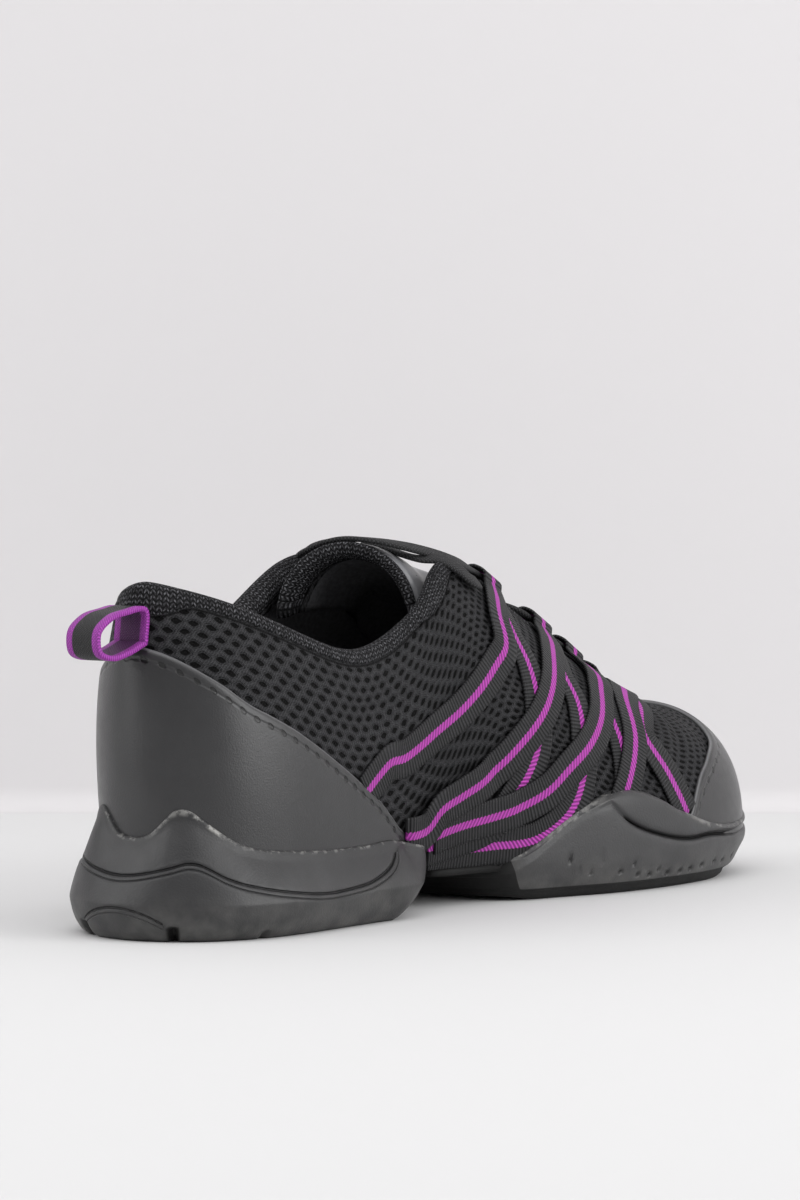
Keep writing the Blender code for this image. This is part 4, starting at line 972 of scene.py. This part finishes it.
# One side of the upper as seen from that side: x and z of each place, its point and normal, and the
# throat's edge. The table goes on a little past that edge.
def sideTable(side):
    loop = loopThrough(spokes, 90, toeSpoke)
    wall = wallSurface(loop, np.linspace(0, 1, 36))
    normals = gridNormals(wall)
    half = slice(0, 91) if side < 0 else slice(90, 180)
    wall, normals = wall[:, half], normals[:, half]
    keep = (wall[0, :, 0] > 22) & (wall[0, :, 0] < 250)
    wall, normals = wall[:, keep], normals[:, keep]
    edge = unit(wall[-1] - wall[-2]) * (1 - 0.97 * smoothStep(wall[0, :, 0], 222, 238)[:, None])
    points = np.concatenate([wall, wall[-1:] + edge * 3, wall[-1:] + edge * 7])
    normals = np.concatenate([normals, normals[-1:], normals[-1:]])
    return points[:, :, [0, 2]], np.concatenate([points, normals], axis=2), wall[-1]


# A place on the throat's edge at x, the way along the edge, and the ways inwards and square to both,
# tilted by the loop's lift
def throatFrame(side, x, edge):
    order = np.argsort(edge[:, 0])

    def at(where, values):
        return np.array([np.interp(where, edge[order, 0], values[order, k]) for k in range(3)])

    point = at(x, edge)
    along = unit(at(x + 2, edge) - point)
    across = np.array([0, -side, 0.0])
    across = unit(across - along * (across @ along))
    up = np.cross(along, across)
    up = up if up[2] > 0 else -up
    lift = math.radians(ribbonSize["loopLift"])
    inward = across * math.cos(lift) + up * math.sin(lift)
    rise = up * math.cos(lift) - across * math.sin(lift)
    return point, along, inward, rise


# Heights of the ribbons over the upper: one that is laid later rests on each one below it
def liftedLegs(legs):
    base = ribbonSize["base"]
    heights = []
    for k, (points, _) in enumerate(legs):
        height = np.full(len(points), base)
        for other, (lower, _) in zip(heights, legs[:k]):
            away = np.linalg.norm(points[:, None] - lower[None], axis=2)
            share = 1 - smoothStep(away.min(axis=1), 9.5, 13.5)
            onTop = other[away.argmin(axis=1)] + ribbonSize["lift"]
            height = np.maximum(height, base + share * (onTop - base))
        heights.append(height)
    return heights


# A leg's points and normals on the upper, from its path in the side view
def legPath(point, rows, flat, values):
    path = pathThrough([(point[0], point[2]), *rows])
    found = lookedUp(flat, values, path)
    return found[:, :3], unit(found[:, 3:])


# A leg's lower and upper layers, which lie on the upper at its height, and the way across it
def legSections(points, normals, height, flat, values, start):
    gone = travelled(points[None], 1)[0]
    wanted = np.arange(start, gone[-1], 1.6)
    middle = np.stack([np.interp(wanted, gone, points[:, k]) for k in range(3)], axis=1)
    normal = np.stack([np.interp(wanted, gone, normals[:, k]) for k in range(3)], axis=1)
    high = np.interp(wanted, gone, height)
    wide = unit(np.cross(normal, unit(np.gradient(middle, axis=0))))
    shares = np.linspace(-0.5, 0.5, 7)
    spots = middle[:, None] + wide[:, None] * (ribbonSize["wide"] * shares)[None, :, None]
    found = lookedUp(flat, values, spots.reshape(-1, 3)[:, [0, 2]]).reshape(len(middle), 7, 6)
    up = unit(found[:, :, 3:])
    low = found[:, :, :3] + up * high[:, None, None]
    return low, low + up * ribbonSize["thick"], wide


# A lace loop's inner and outer layers, half a thickness to each side of its shape
def loopSections(loopFrame):
    point, along, inward, rise = loopFrame
    shape = pathThrough(loopShape, 0.9)
    run = unit(np.gradient(shape, axis=0))
    shares = np.linspace(-0.5, 0.5, 7) * ribbonSize["wide"]
    spot = point + shape[:, :1] * inward + shape[:, 1:] * rise
    face = -run[:, 1:] * inward + run[:, :1] * rise
    middle = spot[:, None] + along * shares[None, :, None]
    half = face[:, None] * ribbonSize["thick"] / 2
    return middle - half, middle + half


# Each ribbon is one strip: up its rear leg, round its lace loop and down its front leg
def makeRibbons(finish):
    frames = {}
    for side, place in ((-1, "in"), (1, "out")):
        flat, values, edge = sideTable(side)
        for number, ribbon in ribbonTable.items():
            frames[side, number] = throatFrame(side, ribbon["loop"], edge)
        order = [(k, "front") for k in (4, 3, 2, 1)] + [(k, "rear") for k in (4, 3, 2, 1)]
        legs = [legPath(frames[side, k][0], ribbonTable[k][leg], flat, values) for k, leg in order]
        heights = dict(zip(order, liftedLegs(legs)))
        legs = dict(zip(order, legs))
        for number in ribbonTable:
            loopFrame = frames[side, number]
            inner, outer = loopSections(loopFrame)
            insides, outsides = [inner], [outer]
            for leg in ("rear", "front"):
                points, normals = legs[number, leg]
                low, high, wide = legSections(points, normals, heights[number, leg], flat, values, 4.5)
                if wide[0] @ loopFrame[1] < 0:
                    low, high = low[:, ::-1], high[:, ::-1]
                if leg == "rear":
                    insides.insert(0, low[::-1])
                    outsides.insert(0, high[::-1])
                else:
                    insides.append(high)
                    outsides.append(low)
            inside, outside = np.concatenate(insides), np.concatenate(outsides)
            ring = np.concatenate([inside, outside[:, ::-1]], axis=1)
            half = np.linspace(-0.5, 0.5, 7) * ribbonSize["wide"]
            across = np.concatenate([half, half[::-1], half[:1]])
            along = travelled(inside[None, :, 3], 1)[0]
            piece = gridPiece(f"ribbon{number}{place}", ring, clothPlaces(across, along[:, None]),
                              finish, wrapColumns=True, caps=True)
            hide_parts(f"ribbon_{number}_{place}")
    return frames


# Laces

laceLook = {
    "wide": 5.0, "thick": 1.5,
    # top strands: from the inner side's first loop over the tongue, and from the outer side's
    "out": [
        (133, -14.5, 90.4), (126, -15.2, 92.2), (117, -13.5, 94.6), (109, -10.5, 96.5),
        (105, -6.5, 97.6), (103, -2, 98.1), (101.3, 2.5, 98.1), (100, 7, 97.1), (99.8, 11.5, 95.5),
        (101, 15.6, 94.3), (107, 17.5, 95.2), (116, 18, 95.6), (124, 16.6, 93.8),
    ],
    "in": [
        (128, 12.6, 91.4), (121, 9, 94.8), (114.5, 3, 96.8), (112, -3, 95.9), (112.5, -8.5, 94),
        (113.8, -13.5, 92.9), (116.5, -17.3, 92.9), (120.5, -20.7, 90.4), (124.5, -22, 87.5),
        (130, -20.8, 86),
    ],
}


# One flat lace in two halves, which cross from side to side through the loops. Its section is a cosine
# and a sine, each raised to a power below 1.
def makeLaces(frames, finish):
    look = laceLook

    def through(side, number):
        point, along, inward, rise = frames[side, number]
        middle = point + inward * 3.6 + rise * 2.45
        return [np.array([*(middle + along * away), *rise, 0.72]) for away in (-6.2, 0, 5.8)]

    halves = []
    for first in (-1, 1):
        route = []
        for k in range(4):
            route += through(first * (-1) ** k, k + 1)
        halves.append(route)
    far = halves[1][-1]
    halves[0].append((halves[0][-1] + far) / 2 + np.array([3, 0, -0.6, 0, 0, 0, 0.3]))
    halves[0].append(far)
    for name, route, strand in zip(("laceHalf", "laceOtherHalf"), halves, (look["out"], look["in"])):
        route[:0] = [np.array([*spot, 0.1, spot[1] / 20, 1, 1]) for spot in reversed(strand)]
        path = pathThrough(route, 0.8)
        points, lean, share = path[:, :3], path[:, 3:6], np.clip(path[:, 6], 0.6, 1)
        along = unit(np.gradient(points, axis=0))
        wide = unit(np.cross(lean, along))
        face = np.cross(along, wide)
        turn = np.radians(np.arange(16) * 22.5 + 11.25)
        flatX = np.sign(np.cos(turn)) * np.abs(np.cos(turn)) ** 0.55 * look["wide"] / 2
        flatZ = np.sign(np.sin(turn)) * np.abs(np.sin(turn)) ** 0.75 * look["thick"] / 2
        ring = (points[:, None] + wide[:, None] * (flatX[None, :] * share[:, None])[:, :, None]
                + face[:, None] * flatZ[None, :, None])
        ring[0] = points[0] + (ring[0] - points[0]) * 0.55
        gone = travelled(points[None], 1)[0]
        uv = clothPlaces(np.append(flatX, flatX[0]), gone[:, None])
        made = gridPiece(name, ring, uv, finish, wrapColumns=True, caps=True)
        route = (points - shoeMiddle) * mm
    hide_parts("laces")


# Tongue

# rows: x, height of the middle, half width, side drop, skew, thickness
tongueRows = [
    (222, 0, 7, 0, 0, 2.2), (214, 0, 10, 0, 0, 2.4), (204, 0, 15, 0, 0, 2.6), (190, 0, 19, 0, 0, 2.8),
    (174, 0, 21, 0, 0, 3), (158, 0, 23, 0, 0, 3.4), (143, 0, 23, 0, 0, 4), (130, 0, 21.5, 0, 0, 4.4),
    (120, 91.8, 15.6, 13.5, 2, 4.2), (112, 95.0, 15.9, 16, 7, 4.0), (105, 96.9, 16.4, 18.5, 13, 3.9),
    (100, 97.2, 16.4, 20, 17, 3.8),
]


# Sections from the table, under the upper where the throat is closed and between its edges where it is
# open, then a rolled end
def makeTongue(leather, knit, backing):
    columns = 96
    loop = loopThrough(spokes, columns, toeSpoke)
    steps = np.linspace(0.35, 1, 40)
    outer = wallSurface(loop, steps)
    under = outer - gridNormals(outer) * (wallThickness(loop, steps) + 1.0)[:, :, None]
    roof = closedRound(under)
    edge = under[-1]
    inner = edge[: columns + 1][np.argsort(edge[: columns + 1, 0])]
    outside = edge[columns:][np.argsort(edge[columns:, 0])]
    count, length = 33, 100
    turn = np.radians(np.linspace(-90, 90, count))
    rows = []
    for x, middle, half, drop, skew, _ in tongueRows:
        y = half * np.sin(turn)
        if drop:
            z = middle - drop * (1 - np.cos(turn))
            rows.append(np.column_stack([x - skew / 2 * np.sin(turn), y + 0.7, z]))
            continue
        covered = lookedUp(roof[:, :, :2], roof[:, :, 2], np.column_stack([np.full(count, x), y]))[:, 0]
        low = np.array([np.interp(x, inner[:, 0], inner[:, k]) for k in (1, 2)])
        high = np.array([np.interp(x, outside[:, 0], outside[:, k]) for k in (1, 2)])
        share = np.clip((y - low[0]) / max(high[0] - low[0], 1e-6), 0, 1)
        openHeight = low[1] + share * (high[1] - low[1]) + 5.6 * share * (1 - share)
        inside = (share > 0) & (share < 1) & (x < inner[:, 0].max())
        rows.append(np.column_stack([np.full(count, x), y, np.where(inside, openHeight, covered)]))
    rows = np.array(rows)
    knots = np.arange(len(rows), dtype=float)
    fine = np.linspace(0, len(rows) - 1, length)
    flat = rows.reshape(len(rows), -1)
    top = hermite(knots, flat, np.gradient(flat, axis=0), fine).reshape(length, count, 3)
    normals = unit(np.cross(np.gradient(top, axis=1), np.gradient(top, axis=0)))
    normals *= np.sign(normals[:, count // 2, 2])[:, None, None]
    thick = np.interp(fine, knots, [row[5] for row in tongueRows])[:, None] * np.ones(count)
    thick *= (1 - 0.45 * np.abs(np.linspace(-1, 1, count)) ** 6)[None, :]
    free = travelled(top, 0)
    fromEdge = free[-1:] - free
    # the padded end rolls over, with a seam where the knitted edge meets the leather
    puff = 0.3 * bump(fromEdge, 0.2, 0.9) - 0.5 * bump(fromEdge, 1.5, 0.6)
    top = top + normals * puff[:, :, None]
    low = top - normals * thick[:, :, None]
    turnEnd = np.radians(np.linspace(0, 180, 9))[1:-1, None, None]
    middle = (top[-1] + low[-1]) / 2
    half = (top[-1] - low[-1]) / 2
    ahead = unit(top[-1] - top[-4]) * np.linalg.norm(half, axis=1)[:, None]
    roll = middle + half * np.cos(turnEnd) + ahead * np.sin(turnEnd)
    grid = np.concatenate([top, roll, low[::-1]])
    edges = np.concatenate([fromEdge, np.zeros((len(roll), count)), fromEdge[::-1]])
    gone = travelled(grid, 0)
    v = gone[length - 1] - gone
    across = travelled(top[60:61], 1)[0]
    ring = grid.transpose(1, 0, 2)
    uv = clothPlaces(across, np.vstack([v, v[:1]])).transpose(1, 0, 2)
    marks = {"edge": 8 + edges.T, "knit": edges.T - 6}
    piece = gridPiece("tongue_pad", ring, uv, leather, wrapColumns=True, caps=True, marks=marks)
    piece.data.materials.append(knit)
    piece.data.materials.append(backing)
    sections = ring.shape[1]
    spot = np.arange(sections * (count - 1)) % sections
    away = edges[:, count // 2]
    rollMiddle = length + len(roll) // 2
    knitted = (away[spot] < 1.3 + 4.7 * (spot > rollMiddle)) & (spot > 60)
    index = np.where(knitted, 1, np.where(spot >= rollMiddle, 2, 0))
    chooseFinish(piece, np.concatenate([index, [2, 2]]))
    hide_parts("tongue")


# Pull loop

pullLook = {
    "path": [
        (7.5, 74.9), (0, 72.4), (-6, 71.6), (-10.6, 73.4), (-11, 77.8), (-6.4, 81.4), (0, 82.8),
        (7.6, 83),
    ],
    "wide": 10.0, "thick": 1.3,
}


# A flat band whose path, as x and z, closes on itself
def makePullLoop(finish, inside):
    path = pathThrough([*pullLook["path"], pullLook["path"][0]], 0.7)[:-1]
    closed = np.vstack([path[-1:], path, path[:1]])
    along = unit(closed[2:] - closed[:-2])
    out = np.column_stack([along[:, 1], -along[:, 0]])
    shares = np.linspace(-0.5, 0.5, 9) * pullLook["wide"]
    half = pullLook["thick"] / 2
    faces = []
    for way, order in ((-1, shares), (1, shares[::-1])):
        flat = path + out * half * way
        faces.append(np.stack(np.broadcast_arrays(flat[:, :1], order, flat[:, 1:]), axis=2))
    ring = np.concatenate(faces, axis=1)
    gone = travelled(np.concatenate([path, path[:1]])[None], 1)[0]
    across = np.concatenate([shares, shares[::-1], shares[:1]])
    uv = clothPlaces(across, gone[:, None])
    piece = gridPiece("pullTab", ring, uv, finish, wrapRows=True, wrapColumns=True)
    piece.data.materials.append(inside)
    column = np.arange(len(piece.data.polygons)) % ring.shape[1]
    chooseFinish(piece, column >= len(shares))
    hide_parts("pull_loop")


# Room, light and camera

cameraLook = {
    "turn": 54.0, "rise": 4.5, "away": 1300.0, "target": (110, 0, 40), "seenAt": (371, 755),
    "focalPixels": 4840.0, "photo": (800, 1200),
}


# The camera of the photo, solved by least squares. Angles are in degrees, and seenAt is where the
# target lies in the photo's pixels.
def makeCamera():
    look = cameraLook
    turn, rise = math.radians(look["turn"]), math.radians(look["rise"])
    ahead = np.array([math.sin(turn) * math.cos(rise), math.cos(turn) * math.cos(rise), -math.sin(rise)])
    target = (np.array(look["target"], float) - shoeMiddle) * mm
    data = bpy.data.cameras.new("photoCamera")
    camera = addObject("photoCamera", data)
    camera.location = target - ahead * look["away"] * mm
    camera.rotation_euler = (math.pi / 2 - rise, 0, -turn)
    data.sensor_fit = "VERTICAL"
    data.sensor_height = 36
    wide, high = look["photo"]
    data.lens = look["focalPixels"] / high * data.sensor_height
    data.shift_x = (wide / 2 - look["seenAt"][0]) / high
    data.shift_y = (look["seenAt"][1] - high / 2) / high
    bpy.context.scene.camera = camera


# Level directions ahead of the camera and to its right, and up
def viewAxes():
    turn = math.radians(cameraLook["turn"])
    ahead = np.array([math.sin(turn), math.cos(turn), 0])
    side = np.array([math.cos(turn), -math.sin(turn), 0])
    return ahead, side, np.array([0, 0, 1.0])


lightLook = {"top": 10.0, "left": 5.6, "right": 11.4, "room": 0.4}
roomLook = {"floor": "#d9d9d9", "wall": "#d6d4d5", "wallAt": 0.262, "bend": 0.008}


# Matt background paper
def makePaper(name, code):
    made, add = newFinish(name)
    shader = made.node_tree.nodes["Principled BSDF"]
    for key, value in {"Base Color": linear(code), "Roughness": 0.9, "Specular IOR Level": 0.2}.items():
        shader.inputs[key].default_value = value
    return made, add, shader


# A pale floor, and a wall close behind the shoe that only shows from the camera's side
def makeRoom():
    ahead, side, up = viewAxes()
    floorFinish = makePaper("paleFloorPaper", roomLook["floor"])[0]
    wallFinish, add, shader = makePaper("paleWallPaper", roomLook["wall"])
    back = add("NewGeometry", output="Backfacing")
    both = add("MixShader", back, shader.outputs[0], add("BsdfTransparent"))
    tree = wallFinish.node_tree
    setInput(tree, tree.nodes["Material Output"].inputs["Surface"], both)
    bendAt, size = roomLook["wallAt"], roomLook["bend"]
    bend = np.radians(np.linspace(0, 90, 9))
    profile = [(bendAt - size * (1 - math.sin(a)), size * (1 - math.cos(a)) + 0.0002) for a in bend]
    profile.append((bendAt, 2.4))
    pieces = (
        ("paleFloor", [(-5.0, 0), (5.0, 0)], floorFinish),
        ("paleWall", profile, wallFinish),
    )
    for name, rows, finish in pieces:
        corners = [(away, high, wide) for away, high in rows for wide in (-4, 4)]
        points = [tuple(ahead * away + side * wide + up * high) for away, high, wide in corners]
        faces = [(2 * k, 2 * k + 1, 2 * k + 3, 2 * k + 2) for k in range(len(rows) - 1)]
        mesh = bpy.data.meshes.new(name)
        mesh.from_pydata(points, [], faces)
        mesh.shade_smooth()
        mesh.materials.append(finish)
        piece = addObject(name, mesh)


# A rectangular lamp at a place, turned to look along the way to its aim
def addLight(name, place, aim, size, power):
    data = bpy.data.lights.new(name, "AREA")
    data.shape = "RECTANGLE"
    data.size, data.size_y = size
    data.energy = power
    lamp = addObject(name, data)
    lamp.location = place
    way = np.array(aim, float) - np.array(place, float)
    lamp.rotation_euler = (math.atan2(math.hypot(way[0], way[1]), -way[2]), 0, math.atan2(-way[0], way[1]))


# Soft boxes above, left and right, in an evenly pale room
def makeLights():
    ahead, side, up = viewAxes()
    middle = np.array([0, 0, 0.04])
    addLight("topSoftbox", -0.55 * ahead + 1.2 * up, middle, (1.6, 1.2), lightLook["top"])
    addLight("leftSoftbox", -0.35 * ahead - 1.1 * side + 0.55 * up, middle, (0.8, 1.0), lightLook["left"])
    addLight("rightSoftbox", -0.45 * ahead + 1.15 * side + 0.4 * up, middle, (0.9, 1.1), lightLook["right"])
    world = bpy.data.worlds.new("paleRoom")
    world.use_nodes = True
    back = world.node_tree.nodes["Background"]
    back.inputs[0].default_value = linear("#f4f3f5")
    back.inputs[1].default_value = lightLook["room"]
    bpy.context.scene.world = world


makeCamera()
makeRoom()
makeLights()
bpy.context.scene.view_settings.view_transform = "Standard"
print("camera, room and light made")

meshCloth = makeMeshCloth()
lining = makeLining("blackLining", "#58585b")
sock = makeLining("blackSock", "#4c4c4e", 500)
leather = makeLeather("blackCoatedLeather", leatherLook["base"], leatherLook["worn"])
# the tongue's leather is painted a lighter grey than the other leather: painted sheen of the light on its
# glossy front
sheenPaintedTongueLeather = makeLeather("tongueLeatherPaintedSheen", "#7a7a7d", "#929294", 0.3)
grosgrain = makeGrosgrain()
laceCloth = makeLaceCloth()
tabCloth = makeTabCloth("purpleEdgedTab", "#0c0c0d", "#262628")
tabInside = makeTabCloth("purpleTabInside", "#3d0f42", "#6a2470")
print("finishes made")

makeUpper(meshCloth, lining)
print("upper made")
makeOverlays(leather)
print("heel counter and toe cap made")
makeHeelSole(makeRubber("heelRubber", rubberLook["heel"], 0.4))
makeFrontSole(makeRubber("frontRubber", rubberLook["front"], 3.4))
print("soles made")
throatFrames = makeRibbons(grosgrain)
makeLaces(throatFrames, laceCloth)
print("ribbons and laces made")
makeTongue(sheenPaintedTongueLeather, meshCloth, lining)
makePullLoop(tabCloth, tabInside)
print("tongue and pull loop made")

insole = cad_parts["insole"]
insole.data.materials.clear()
insole.data.materials.append(sock)
